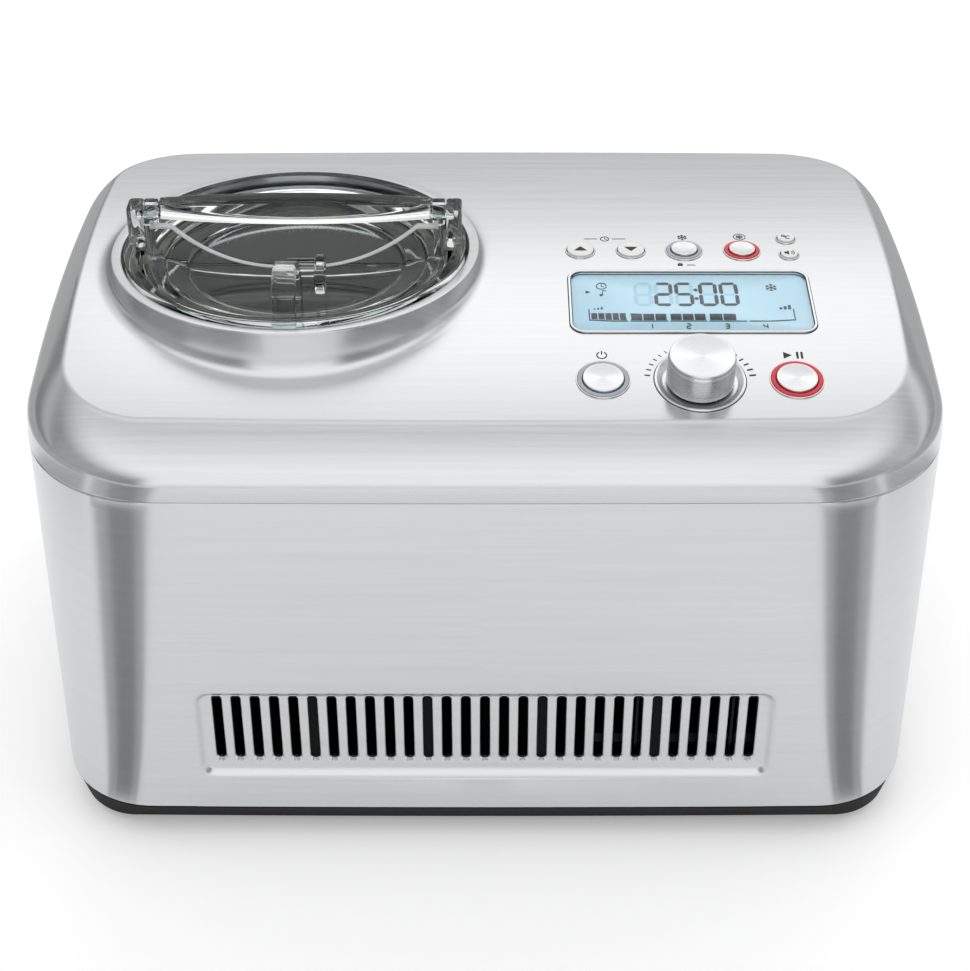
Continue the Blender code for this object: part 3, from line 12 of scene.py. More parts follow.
import bmesh
import bpy
import numpy as np
from mathutils.geometry import delaunay_2d_cdt
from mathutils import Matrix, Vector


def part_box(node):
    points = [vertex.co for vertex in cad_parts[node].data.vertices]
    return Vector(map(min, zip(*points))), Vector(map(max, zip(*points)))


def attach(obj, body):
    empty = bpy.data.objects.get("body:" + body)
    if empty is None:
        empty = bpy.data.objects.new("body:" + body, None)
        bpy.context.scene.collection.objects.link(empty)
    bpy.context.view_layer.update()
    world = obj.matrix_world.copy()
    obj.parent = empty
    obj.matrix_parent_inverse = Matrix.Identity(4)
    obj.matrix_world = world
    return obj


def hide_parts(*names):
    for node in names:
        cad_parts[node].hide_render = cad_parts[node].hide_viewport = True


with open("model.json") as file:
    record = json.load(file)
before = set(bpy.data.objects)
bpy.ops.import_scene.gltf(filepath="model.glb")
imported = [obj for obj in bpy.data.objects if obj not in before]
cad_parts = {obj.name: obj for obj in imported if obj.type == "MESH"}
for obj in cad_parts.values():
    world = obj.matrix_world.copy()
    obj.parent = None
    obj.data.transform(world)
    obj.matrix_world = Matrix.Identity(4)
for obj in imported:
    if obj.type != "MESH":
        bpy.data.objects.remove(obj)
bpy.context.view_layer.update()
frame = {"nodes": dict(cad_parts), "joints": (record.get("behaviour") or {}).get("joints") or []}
MM = 0.001


def node_box(name):
    """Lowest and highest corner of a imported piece, in millimetres."""
    low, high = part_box(name)
    return np.array(low) / MM, np.array(high) / MM


joints = {joint["name"]: joint for joint in frame["joints"]}

# %% [markdown]
# ## Tools for surfaces
#
# A pressed, turned or moulded piece is a sheet over two parameters. `skin` joins an array of
# rows into faces, `piece` welds the seams and poles, turns the faces outwards and hangs the
# result on its moving body. A flat area with holes is filled with Delaunay triangles between
# its outlines, which keeps every hole's edge exact.


# %% Surfaces from arrays
def skin(rows, around=True, closed=False):
    """Points and quads of a sheet: each row joins the next, and around joins a row's ends."""
    count, width = rows.shape[:2]
    i = np.arange(count if closed else count - 1)[:, None]
    j = np.arange(width if around else width - 1)[None, :]
    after_i, after_j = (i + 1) % count, (j + 1) % width
    quads = np.stack([i * width + j, i * width + after_j, after_i * width + after_j, after_i * width + j], -1)
    return rows.reshape(-1, 3), quads.reshape(-1, 4).tolist()


def capped(rows):
    """A tube of rows with its two ends drawn shut, each to the middle of its own ring."""
    ends = rows[[0, -1]].copy()
    ends[:] = rows[[0, -1]].mean(1)[:, None]
    return skin(np.concatenate([ends[:1], rows, ends[1:]]))


def joined(parts):
    """Several (points, faces) shapes as one."""
    points, faces, first = [], [], 0
    for part_points, part_faces in parts:
        points.append(np.asarray(part_points, float))
        faces += [[first + corner for corner in face] for face in part_faces]
        first += len(part_points)
    return np.vstack(points), faces


def piece(name, shape, finish, body, replaces=(), sharp=38.0, wall=0.0):
    """A finished object at the origin: welded, faces outwards, sharp only past an angle in degrees.
    wall gives an open sheet that thickness, inwards, in millimetres."""
    points, faces = shape
    mesh = bpy.data.meshes.new(name)
    mesh.from_pydata(np.asarray(points) * MM, [], faces)
    work = bmesh.new()
    work.from_mesh(mesh)
    bmesh.ops.remove_doubles(work, verts=work.verts, dist=2e-6)
    bmesh.ops.dissolve_degenerate(work, edges=work.edges, dist=1e-7)
    bmesh.ops.recalc_face_normals(work, faces=work.faces)
    if wall:
        bmesh.ops.solidify(work, geom=work.faces[:], thickness=wall * MM)
        bmesh.ops.recalc_face_normals(work, faces=work.faces)
    if work.calc_volume(signed=True) < 0:
        bmesh.ops.reverse_faces(work, faces=work.faces)
    work.to_mesh(mesh)
    work.free()
    mesh.shade_smooth()
    mesh.set_sharp_from_angle(angle=math.radians(sharp))
    mesh.materials.append(finish)
    made = bpy.data.objects.new(name, mesh)
    bpy.context.scene.collection.objects.link(made)
    if replaces:
        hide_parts(*replaces)
    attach(made, body)
    print(f"{name}: {len(mesh.polygons)} faces")
    return made


def circle(radius, steps=96, start=0.0, end=2 * math.pi):
    """Points (cos, sin) times the radius at even angles; a whole turn doesn't repeat its start."""
    whole = abs(end - start - 2 * math.pi) < 1e-9
    angles = np.linspace(start, end, steps, endpoint=not whole)
    return np.stack([radius * np.cos(angles), radius * np.sin(angles)], -1)


def turned(profile, steps=96):
    """Rows of a turned surface: each (radius, height) pair of the profile carried round Z."""
    profile = np.asarray(profile, float)
    ring = circle(1.0, steps)
    rows = np.empty((len(profile), steps, 3))
    rows[..., :2] = profile[:, None, :1] * ring[None]
    rows[..., 2] = profile[:, None, 1]
    return rows


def eased(profile, radius, steps=5, closed=False):
    """A profile whose corners are rounded: near each corner the line runs along the curve
    (1-t)^2 a + 2 t (1-t) corner + t^2 b, from a to b a radius before and after it."""
    profile = [np.array(p, float) for p in profile]
    count = len(profile)
    t = np.linspace(0, 1, steps)[:, None]
    out = [] if closed else [profile[0][None]]
    for k in range(0 if closed else 1, count if closed else count - 1):
        before, corner, after = profile[k - 1], profile[k], profile[(k + 1) % count]
        to_a, to_b = before - corner, after - corner
        reach = min(radius, 0.48 * np.linalg.norm(to_a), 0.48 * np.linalg.norm(to_b))
        a = corner + to_a * reach / np.linalg.norm(to_a)
        b = corner + to_b * reach / np.linalg.norm(to_b)
        out.append((1 - t) ** 2 * a + 2 * t * (1 - t) * corner + t**2 * b)
    if not closed:
        out.append(profile[-1][None])
    return np.vstack(out)


def inside(points, loop):
    """Which points lie inside a closed outline: an odd number of its edges crosses the ray
    from the point towards +X."""
    x, y = points[:, 0][:, None], points[:, 1][:, None]
    x0, y0 = loop[:, 0], loop[:, 1]
    x1, y1 = np.roll(x0, -1), np.roll(y0, -1)
    crosses = (y0 > y) != (y1 > y)
    rise = np.where(y1 == y0, 1.0, y1 - y0)
    meets = x < (x1 - x0) * (y - y0) / rise + x0
    return (crosses & meets).sum(1) % 2 == 1


def filled(outline, holes, spacing):
    """Points and triangles of a flat area between its outline and its holes, with a grid of
    points inside it at about the spacing."""
    loops = [np.asarray(outline)[:, :2], *[np.asarray(hole)[:, :2] for hole in holes]]
    low, high = loops[0].min(0), loops[0].max(0)
    sides = [np.arange(a + spacing / 2, b, spacing) for a, b in zip(low, high)]
    spread = np.stack(np.meshgrid(*sides), -1).reshape(-1, 2)
    edge = np.vstack(loops)
    keep = inside(spread, loops[0])
    for loop in loops[1:]:
        keep &= ~inside(spread, loop)
    spread = spread[keep]
    near = np.array([np.min(np.sum((edge - p) ** 2, 1)) for p in spread])
    spread = spread[near > (0.45 * spacing) ** 2]
    edges, first = [], 0
    for loop in loops:
        index = np.arange(len(loop))
        edges += np.stack([first + index, first + (index + 1) % len(loop)], -1).tolist()
        first += len(loop)
    vertices = np.vstack([edge, spread])
    points, _, triangles, _, _, _ = delaunay_2d_cdt(vertices.tolist(), edges, [], 0, 1e-6)
    points = np.array([tuple(p) for p in points])
    triangles = np.array(triangles)
    middle = points[triangles].mean(1)
    keep = inside(middle, loops[0])
    for loop in loops[1:]:
        keep &= ~inside(middle, loop)
    return points, triangles[keep].tolist()


# %% [markdown]
# ## Finishes
#
# Each finish starts from a real material. Colours are sRGB hex values turned to linear by one
# function. Patterns are sized from real lengths, and `add` puts one node in a material.


# %% Colour and nodes
def colour(hex_value):
    """Linear colour of an sRGB hex value: each channel is scaled to 0..1 and its gamma removed."""
    channels = np.array([int(hex_value[i : i + 2], 16) for i in (0, 2, 4)]) / 255
    linear = np.where(channels <= 0.04045, channels / 12.92, ((channels + 0.055) / 1.055) ** 2.4)
    return (*linear.tolist(), 1.0)


def add(tree, kind, inputs=None, **settings):
    """One node with its settings; an input is a value or a socket to link from."""
    made = tree.nodes.new(kind)
    for name, value in settings.items():
        setattr(made, name, value)
    for name, value in (inputs or {}).items():
        if isinstance(value, bpy.types.NodeSocket):
            tree.links.new(value, made.inputs[name])
        else:
            made.inputs[name].default_value = value
    return made


def finish(name, hex_value, metallic=0.0, roughness=0.5, **more):
    """A material with one Principled shader, and the node tree to add a pattern to."""
    made = bpy.data.materials.new(name)
    made.use_nodes = True
    shader = made.node_tree.nodes["Principled BSDF"]
    shader.inputs["Base Color"].default_value = colour(hex_value)
    shader.inputs["Metallic"].default_value = metallic
    shader.inputs["Roughness"].default_value = roughness
    for key, value in more.items():
        shader.inputs[key.replace("_", " ")].default_value = value
    return made, made.node_tree, shader


def shade_between(tree, shader, factor, dark, light, rough=None):
    """Lets a pattern move the colour between two hex values, and the roughness between two."""
    ramp = add(tree, "ShaderNodeMix", {"Factor": factor}, data_type="RGBA")
    ramp.inputs[6].default_value, ramp.inputs[7].default_value = colour(dark), colour(light)
    tree.links.new(ramp.outputs[2], shader.inputs["Base Color"])
    if rough:
        span = add(tree, "ShaderNodeMapRange", {"Value": factor, "To Min": rough[0], "To Max": rough[1]})
        tree.links.new(span.outputs["Result"], shader.inputs["Roughness"])


def bumped(tree, shader, height, strength, distance_mm):
    """Raises the surface by a pattern, by at most the distance."""
    bump = add(tree, "ShaderNodeBump", {"Height": height, "Strength": strength, "Distance": distance_mm * MM})
    tree.links.new(bump.outputs["Normal"], shader.inputs["Normal"])


# %% [markdown]
# ### Brushed stainless steel
#
# The cover and the wall are 304 stainless sheet with a long-line brushed face. A belt draws
# scratches a tenth of a millimetre wide and several centimetres long, all along X. The eye
# sees light smeared across the lines and held narrow along them. The scratches are drawn
# 0.5 mm wide here, as fine as the render can show. The tangent across the lines is the
# product of the surface's normal and the X axis.

# %% Brushed stainless steel
SCRATCH_WIDTH, SCRATCH_LENGTH = 0.5, 38.0
STREAK_WIDTH, STREAK_LENGTH = 3.0, 160.0


def brushed_steel():
    made, tree, shader = finish("brushed_stainless_steel", "CBCCCE", 1.0, 0.24, Anisotropic=0.65)
    place = add(tree, "ShaderNodeUVMap", uv_map="Brush")
    fine = add(tree, "ShaderNodeMapping", {"Vector": place.outputs["UV"]})
    fine.inputs["Scale"].default_value = (1 / (SCRATCH_LENGTH * MM), 1 / (SCRATCH_WIDTH * MM), 1.0)
    wide = add(tree, "ShaderNodeMapping", {"Vector": place.outputs["UV"]})
    wide.inputs["Scale"].default_value = (1 / (STREAK_LENGTH * MM), 1 / (STREAK_WIDTH * MM), 1.0)
    lines = add(tree, "ShaderNodeTexNoise", {"Vector": fine.outputs["Vector"], "Scale": 1.0, "Detail": 3.0})
    streaks = add(tree, "ShaderNodeTexNoise", {"Vector": wide.outputs["Vector"], "Scale": 1.0, "Detail": 1.0})
    both = add(tree, "ShaderNodeMath", {0: lines.outputs["Fac"], 1: streaks.outputs["Fac"]}, operation="ADD")
    half = add(tree, "ShaderNodeMath", {0: both.outputs[0], 1: 0.5}, operation="MULTIPLY")
    shade_between(tree, shader, half.outputs[0], "C0C1C3", "D6D7D8", (0.18, 0.3))
    normal = add(tree, "ShaderNodeNewGeometry")
    across = add(tree, "ShaderNodeVectorMath", {0: normal.outputs["Normal"], 1: (1.0, 0.0, 0.0)},
                 operation="CROSS_PRODUCT")
    tree.links.new(across.outputs["Vector"], shader.inputs["Tangent"])
    bumped(tree, shader, lines.outputs["Fac"], 0.06, 0.05)
    return made


STEEL = brushed_steel()

# %% [markdown]
# ### Spun aluminium
#
# The caps, the dial and the window's frame are aluminium faced on a lathe. The tool leaves a
# spiral of grooves round the centre, so light fans out from it in bright wedges. The tangent
# follows each piece's own UV map, whose first axis runs round the centre.

# %% Spun aluminium
GROOVE_PITCH = 0.35


def spun_aluminium():
    made, tree, shader = finish("spun_aluminium", "D3D4D6", 1.0, 0.27, Anisotropic=0.85)
    shader.inputs["Anisotropic Rotation"].default_value = 0.25
    place = add(tree, "ShaderNodeUVMap", uv_map="Spun")
    grooves = add(tree, "ShaderNodeMapping", {"Vector": place.outputs["UV"]})
    grooves.inputs["Scale"].default_value = (0.9, 1 / (GROOVE_PITCH * MM), 1.0)
    rings = add(tree, "ShaderNodeTexNoise",
                {"Vector": grooves.outputs["Vector"], "Scale": 1.0, "Detail": 2.0})
    shade_between(tree, shader, rings.outputs["Fac"], "BFC0C2", "E3E4E5", (0.2, 0.34))
    spin = add(tree, "ShaderNodeTangent", direction_type="UV_MAP", uv_map="Spun")
    tree.links.new(spin.outputs["Tangent"], shader.inputs["Tangent"])
    return made


SPUN = spun_aluminium()

# %% [markdown]
# ### Clear styrene-acrylonitrile
#
# The lid is a clear food-safe moulding, a few millimetres thick, with a faint green-grey tint
# where light runs along a wall. Its index and its gloss are set below the solid plastic's, as
# suits thin walls over a dark bowl. Very slight waves from the mould keep its reflections from
# looking like cut glass. The hatch's top bead is a lighter, milky clear plastic that is a
# painted highlight, standing in for the glints along the lid's edges.

# %% Clear mouldings
MOULD_WAVE = 9.0


def clear_moulding(name, hex_value, roughness):
    made, tree, shader = finish(name, hex_value, 0.0, roughness, IOR=1.27)
    shader.inputs["Specular Tint"].default_value = (0.3, 0.3, 0.3, 1.0)
    shader.inputs["Transmission Weight"].default_value = 1.0
    place = add(tree, "ShaderNodeTexCoord")
    waves = add(tree, "ShaderNodeTexNoise",
                {"Vector": place.outputs["Object"], "Scale": 1 / (MOULD_WAVE * MM), "Detail": 1.0})
    tint = add(tree, "ShaderNodeMix", {"Factor": waves.outputs["Fac"]}, data_type="RGBA")
    tint.inputs[6].default_value, tint.inputs[7].default_value = colour(hex_value), colour("FFFFFF")
    tree.links.new(tint.outputs[2], shader.inputs["Base Color"])
    bumped(tree, shader, waves.outputs["Fac"], 0.06, 0.1)
    return made


CLEAR = clear_moulding("clear_styrene_acrylonitrile", "E4ECEA", 0.01)
# A lighter, milky clear plastic for the hatch's bead: a painted highlight for the lid's edge glints.
PAINTED_GLINT = clear_moulding("painted_highlight_styrene_acrylonitrile", "F4F8F7", 0.12)
PAINTED_GLINT.node_tree.nodes["Principled BSDF"].inputs["Transmission Weight"].default_value = 0.45
PANE = clear_moulding("clear_acrylic_pane", "F6FAFB", 0.005)

# %% [markdown]
# ### Moulded and painted plastics, rubber
#
# The base, vents and housings are ABS from a spark-eroded mould, which leaves a fine, even
# grain about half a millimetre across. Rubber has a rougher, chalkier grain. The white caps
# are satin-painted ABS with hardly any grain.

# %% Grained plastics
def grained(name, hex_dark, hex_light, roughness, grain, depth, metallic=0.0):
    """A material with an even grain: colour, roughness and height all follow one noise."""
    made, tree, shader = finish(name, hex_dark, metallic, roughness)
    place = add(tree, "ShaderNodeTexCoord")
    noise = add(tree, "ShaderNodeTexNoise",
                {"Vector": place.outputs["Object"], "Scale": 1 / (grain * MM), "Detail": 3.0})
    shade_between(tree, shader, noise.outputs["Fac"], hex_dark, hex_light,
                  (roughness - 0.06, roughness + 0.06))
    bumped(tree, shader, noise.outputs["Fac"], 0.35, depth)
    return made


BLACK_ABS = grained("spark_eroded_black_abs", "030304", "070708", 0.7, 0.6, 0.03)
BLACK_ABS.node_tree.nodes["Principled BSDF"].inputs["Specular Tint"].default_value = (0.15, 0.15, 0.15, 1.0)
RUBBER = grained("moulded_rubber", "0B0B0B", "171717", 0.82, 0.9, 0.06)
WHITE_CAP = grained("satin_painted_abs", "E2E2DF", "F2F2EF", 0.32, 1.2, 0.01)
NYLON = grained("moulded_nylon", "DEDCD2", "EFEDE6", 0.45, 0.8, 0.02)
FOAM = grained("rigid_polyurethane_foam", "CFC6AC", "E6DFC9", 0.9, 1.6, 0.3)
ENAMEL = grained("baked_black_enamel", "121314", "202122", 0.28, 2.5, 0.03)
BOARD = grained("fibreglass_circuit_board", "174A30", "236B45", 0.42, 2.0, 0.02)
PADDLE_PLASTIC = grained("moulded_grey_polypropylene", "B4B9B8", "CDD2D0", 0.28, 1.2, 0.01)

# %% [markdown]
# ### Other metals
#
# The bowl and the chamber are hard-anodised aluminium, its colour darkened well past the
# metal's own dark grey as painted shade in the bowl's hollow and behind the grille, where the
# condenser wears it too; the lines are drawn copper, a little dulled by handling; shafts and
# motor cans are bright turned steel; the bush is sintered bronze, which is pressed from powder
# and stays faintly porous.

# %% Other metals
# Hard-anodised grey, darkened further as painted shade for the bowl's hollow and the cabinet's inside.
ANODISED_WITH_PAINTED_SHADE = grained("hard_anodised_aluminium_painted_shade", "15191A", "202526", 0.34, 1.5, 0.01, 1.0)
COPPER = grained("drawn_copper", "A8653D", "C98859", 0.3, 3.0, 0.02, 1.0)
BRIGHT_STEEL = grained("bright_turned_steel", "A2A4A6", "B9BBBD", 0.26, 1.2, 0.01, 1.0)
BRONZE = grained("sintered_bronze", "8C6A3A", "A9824C", 0.42, 0.5, 0.03, 1.0)

# %% [markdown]
# ### Light guides, screen and print
#
# Four buttons stand in moulded light guides, two unlit and grey, two lit red. The screen behind the
# window is a reflective liquid crystal panel with an ice-blue back light, and its segments are
# dark. The marks on the cover are screen-printed in matt black.

# %% Light guides, screen and print
GREY_GUIDE = grained("unlit_light_guide", "8F989F", "B4BCC2", 0.22, 1.5, 0.004)


def lit(name, hex_dark, hex_light, strength, grain):
    """A plastic that also glows a little, its colour varying softly over a few millimetres."""
    made, tree, shader = finish(name, hex_dark, 0.0, 0.25, Emission_Strength=strength)
    place = add(tree, "ShaderNodeTexCoord")
    noise = add(tree, "ShaderNodeTexNoise", {"Vector": place.outputs["Object"], "Scale": 1 / (grain * MM)})
    shade_between(tree, shader, noise.outputs["Fac"], hex_dark, hex_light)
    shader.inputs["Emission Color"].default_value = colour(hex_light)
    return made


RED_GUIDE = lit("lit_red_light_guide", "B3101F", "D9202F", 0.12, 5.0)
SCREEN = lit("backlit_liquid_crystal", "A9D6EC", "CBE9F6", 0.25, 30.0)
SEGMENT = grained("dark_crystal_segment", "333C44", "475058", 0.4, 2.0, 0.001)
FAINT = lit("unlit_crystal_segment", "9CCBE2", "B8DAEA", 0.2, 2.0)
INK = grained("screen_printed_ink", "141414", "242424", 0.55, 0.5, 0.003)
print("finishes", len(bpy.data.materials))

# %% [markdown]
# ## Where things are
#
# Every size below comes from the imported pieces' boxes, or is a fine detail added to them. The
# top face is a shallow crown: its height falls with the square of the distance from front to
# back. Controls stand square to that crown; the lid sits in a mouth that leans back a little.

# %% Sizes from the frame
cover_low, cover_high = node_box("top_cover")
shell_low, shell_high = node_box("body_shell")
bowl_low, bowl_high = node_box("ice_cream_bowl")
window_low, window_high = node_box("display_window")
knob_low, knob_high = node_box("dial_knob")
chamber_low, chamber_high = node_box("freezing_chamber")

HALF_W, HALF_D = cover_high[0], cover_high[1]
WALL_BOTTOM, WALL_TOP, COVER_FOOT = shell_low[2], shell_high[2], cover_low[2]
BOWL_X = (bowl_low[0] + bowl_high[0]) / 2
PANEL_X = (knob_low[0] + knob_high[0]) / 2
CROWN_HEIGHT, CROWN_SLOPE, CROWN_CURVE = COVER_FOOT + 37.6, 0.042, 0.000768
lid_axis = joints["lid_lift"]["axis"]
LID_TILT = math.atan2(lid_axis[1], lid_axis[2])
MOUTH_HEIGHT = CROWN_HEIGHT + 4.1
LIP_RADIUS, LIP_WIDTH = 83.4, 4.9
LID_RADIUS = LIP_RADIUS - LIP_WIDTH - 1.2
print("half width", HALF_W, "half depth", HALF_D, "bowl at", BOWL_X, "panel at", PANEL_X)


def crown(y):
    """Height of the top face."""
    return CROWN_HEIGHT + CROWN_SLOPE * y - CROWN_CURVE * y * y


def face_frame(x, y):
    """Turn and place of the top face at a point: X stays level and Z is the face's normal."""
    lean = math.atan(CROWN_SLOPE - 2 * CROWN_CURVE * y)
    c, s = math.cos(lean), math.sin(lean)
    return np.array([[1, 0, 0], [0, c, -s], [0, s, c]]), np.array([x, y, crown(y)])


def placed(shape, spot):
    """A shape carried to a frame (turn, place)."""
    turn, place = spot
    return shape[0] @ turn.T + place, shape[1]


def mouth_frame():
    """Turn and place of the lid's seat: the axis leans back by the tilt."""
    c, s = math.cos(LID_TILT), math.sin(LID_TILT)
    return np.array([[1, 0, 0], [0, c, s], [0, -s, c]]), np.array([BOWL_X, 0, MOUTH_HEIGHT])


MOUTH = mouth_frame()


# %% Maps for the finishes
def lay_map(made, name, place):
    """Adds a UV map: place takes each face corner's point and its face's middle, in mm."""
    mesh = made.data
    corner = np.empty(len(mesh.loops), np.int64)
    mesh.loops.foreach_get("vertex_index", corner)
    spots = np.empty(len(mesh.vertices) * 3)
    mesh.vertices.foreach_get("co", spots)
    many = np.empty(len(mesh.polygons), np.int64)
    mesh.polygons.foreach_get("loop_total", many)
    middle = np.empty(len(mesh.polygons) * 3)
    mesh.polygons.foreach_get("center", middle)
    spots = spots.reshape(-1, 3)[corner] / MM
    middle = np.repeat(middle.reshape(-1, 3), many, axis=0) / MM
    layer = mesh.uv_layers.new(name=name)
    layer.data.foreach_set("uv", (place(spots, middle) * MM).ravel())


def plan_map(spots, middle):
    """Brushing drawn with the sheet: u is X, v is the distance across the lines."""
    return np.stack([spots[:, 0], spots[:, 1] + 0.9 * spots[:, 2]], -1)


def spun_map(spot):
    """Brushing round an axis: u is the angle round it times 10 mm, v is the distance from it."""
    turn, place = spot

    def around(spots, middle):
        local, centre = (spots - place) @ turn, (middle - place) @ turn
        mean = np.arctan2(centre[:, 1], centre[:, 0])
        angle = np.arctan2(local[:, 1], local[:, 0])
        radius = np.hypot(local[:, 0], local[:, 1])
        angle = np.where(radius < 1e-3, mean, angle)
        angle = mean + (angle - mean + math.pi) % (2 * math.pi) - math.pi
        return np.stack([10 * angle, radius + 0.3 * np.abs(local[:, 2])], -1)

    return around


# %% [markdown]
# ## The body's outline
#
# Seen from above the body is a rectangle with very round corners, and its four sides bow out a
# little. The outline is eight arcs that meet smoothly: the corner arc's centre keeps one
# distance from both side arcs' centres. Every level of the wall and the cover uses it.

# %% Outline
CORNER_AT_TRAY, CORNER_AT_SEAM, CORNER_WIDEST = 45.0, 62.0, 67.0
BOW_FRONT, BOW_SIDE = 1.4, 6.0


def soft_quarter(half_x, half_y, corner, bow_front, bow_side, start_x=0.0, counts=(12, 26, 10)):
    """From a point on the front side round the front right corner to the right side's middle."""
    long_r = (half_x**2 + bow_front**2) / (2 * bow_front)
    short_r = (half_y**2 + bow_side**2) / (2 * bow_side)
    long_c, short_c = np.array([0, long_r - half_y]), np.array([half_x - short_r, 0])
    span = long_c - short_c
    apart = np.linalg.norm(span)
    reach_long, reach_short = long_r - corner, short_r - corner
    along = (reach_short**2 - reach_long**2 + apart**2) / (2 * apart)
    aside = math.sqrt(max(reach_short**2 - along**2, 0.0))
    unit = span / apart
    centre = short_c + along * unit + aside * np.array([unit[1], -unit[0]])
    begin = math.asin(start_x / long_r) - math.pi / 2
    first = math.atan2(*(centre - long_c)[::-1])
    last = math.atan2(*(centre - short_c)[::-1])
    front = long_c + circle(long_r, counts[0] + 1, begin, first)[:-1]
    turn = centre + circle(corner, counts[1] + 1, first, last)
    side = short_c + circle(short_r, counts[2] + 1, last, 0.0)[1:]
    return np.vstack([front, turn, side])


def soft_outline(*sizes):
    """The whole outline: a quarter, mirrored to the back and then to the left."""
    quarter = soft_quarter(*sizes)
    right = np.vstack([quarter, quarter[::-1][1:] * [1, -1]])
    return np.vstack([right, right[::-1][1:-1] * [-1, 1]])


def body_outline(inset, corner):
    return soft_outline(HALF_W - inset, HALF_D - inset, corner - inset, BOW_FRONT, BOW_SIDE)


def raised(outline, height):
    """An outline at a height, or at one height for each point."""
    return np.column_stack([outline, np.broadcast_to(height, len(outline))])


def rounded_rectangle(half_x, half_y, corner, steps=8):
    """Four quarter circles joined by straight sides, anticlockwise."""
    quarters = []
    for k, (sx, sy) in enumerate(((1, -1), (1, 1), (-1, 1), (-1, -1))):
        arc = circle(corner, steps + 1, math.radians(90 * k - 90), math.radians(90 * k))
        quarters.append(arc + [sx * (half_x - corner), sy * (half_y - corner)])
    return np.vstack(quarters)


print("outline", len(body_outline(0, CORNER_WIDEST)), "points")

# %% [markdown]
# ## The cover
#
# One stainless pressing makes the top: a crowned face, a shoulder that rolls from nearly level
# to upright, a narrow band above the seam, and a collar drawn up round the bowl's mouth. The
# face is filled between its outlines, so the holes for the controls are exact. The shoulder is
# a blend of two outlines: the share of the way inwards grows with a power of the height, which
# starts upright and lies back towards the face. A fine bevel catches the light at the crease.

# %% Controls' places
BIG_CAP, BIG_RING, SMALL_CAP, SMALL_RING = 9.0, 11.0, 6.2, 8.0
TIMER_CAP, OPTION_CAP, KNOB_RADIUS, DISH_RADIUS = 6.3, 4.15, 14.4, 19.5
FRONT_ROW, REAR_ROW, WINDOW_Y = -90.0, 3.4, -37.0
controls = {
    "power_button": (PANEL_X - 41, FRONT_ROW, BIG_CAP, BIG_RING),
    "start_pause_button": (PANEL_X + 41, FRONT_ROW, BIG_CAP, BIG_RING),
    "pre_cool_button": (PANEL_X, REAR_ROW, SMALL_CAP, SMALL_RING),
    "keep_cool_button": (PANEL_X + 26.5, REAR_ROW, SMALL_CAP, SMALL_RING),
    "timer_up_button": (PANEL_X - 47.4, REAR_ROW, TIMER_CAP, None),
    "timer_down_button": (PANEL_X - 24.3, REAR_ROW, TIMER_CAP, None),
    "unit_button": (PANEL_X + 47.7, REAR_ROW + 10.6, OPTION_CAP, None),
    "sound_button": (PANEL_X + 47.7, REAR_ROW - 3.4, OPTION_CAP, None),
}
WINDOW_HALF_X = (window_high[0] - window_low[0]) / 2 + 0.3
WINDOW_HALF_Y, WINDOW_CORNER, FRAME_WIDTH = 22.0, 5.5, 1.2
print(len(controls), "buttons; window", 2 * WINDOW_HALF_X, "x", 2 * WINDOW_HALF_Y)

# %% Cover
BAND, CREASE, SHOULDER_POWER, COLLAR_FOOT = 7.0, 0.9, 1.9, 91.5
COLLAR_STEPS = 220
face_sizes = np.array([HALF_W - 17.0, HALF_D - 26.4, 39.0])


def collar_rows():
    """From the foot on the crown to the lip and down its inside. The wall is the curve
    (1-t)^3 a + 3 t (1-t)^2 b + 3 t^2 (1-t) c + t^3 d: level at its foot, steep at the lip."""
    ring = circle(1.0, COLLAR_STEPS)
    foot = np.column_stack([COLLAR_FOOT * ring[:, 0] + BOWL_X, COLLAR_FOOT * ring[:, 1],
                            crown(COLLAR_FOOT * ring[:, 1])])

    def lip_ring(radius, height):
        local = np.column_stack([radius * ring, np.full(COLLAR_STEPS, height)])
        return local @ MOUTH[0].T + MOUTH[1]

    lip = lip_ring(LIP_RADIUS, -0.6)
    t = np.linspace(0, 1, 26)[:, None, None]
    out = (1 - t) ** 3 + 3 * t * (1 - t) ** 2 * 0.25 + 3 * t**2 * (1 - t) * 0.12
    up = 3 * t**2 * (1 - t) * 0.2 + t**3
    level = crown(lip[:, 1] + (foot[:, 1] - lip[:, 1]) * out[..., 0])
    wall = lip + (foot - lip) * out
    wall[..., 2] = level + (lip[:, 2] - level) * up[..., 0]
    inner = LIP_RADIUS - LIP_WIDTH
    rim = eased([(LIP_RADIUS, -0.6), (LIP_RADIUS, 0.6), (inner, 0.6), (inner, -10.0)], 0.8)
    return np.vstack([wall, np.stack([lip_ring(r, z) for r, z in rim[1:]])])


def hole_outline(name):
    x, y, cap, ring = controls[name]
    edge = np.column_stack([circle((ring or cap) + 0.3, 40), np.zeros(40)])
    return placed((edge, []), face_frame(x, y))[0]


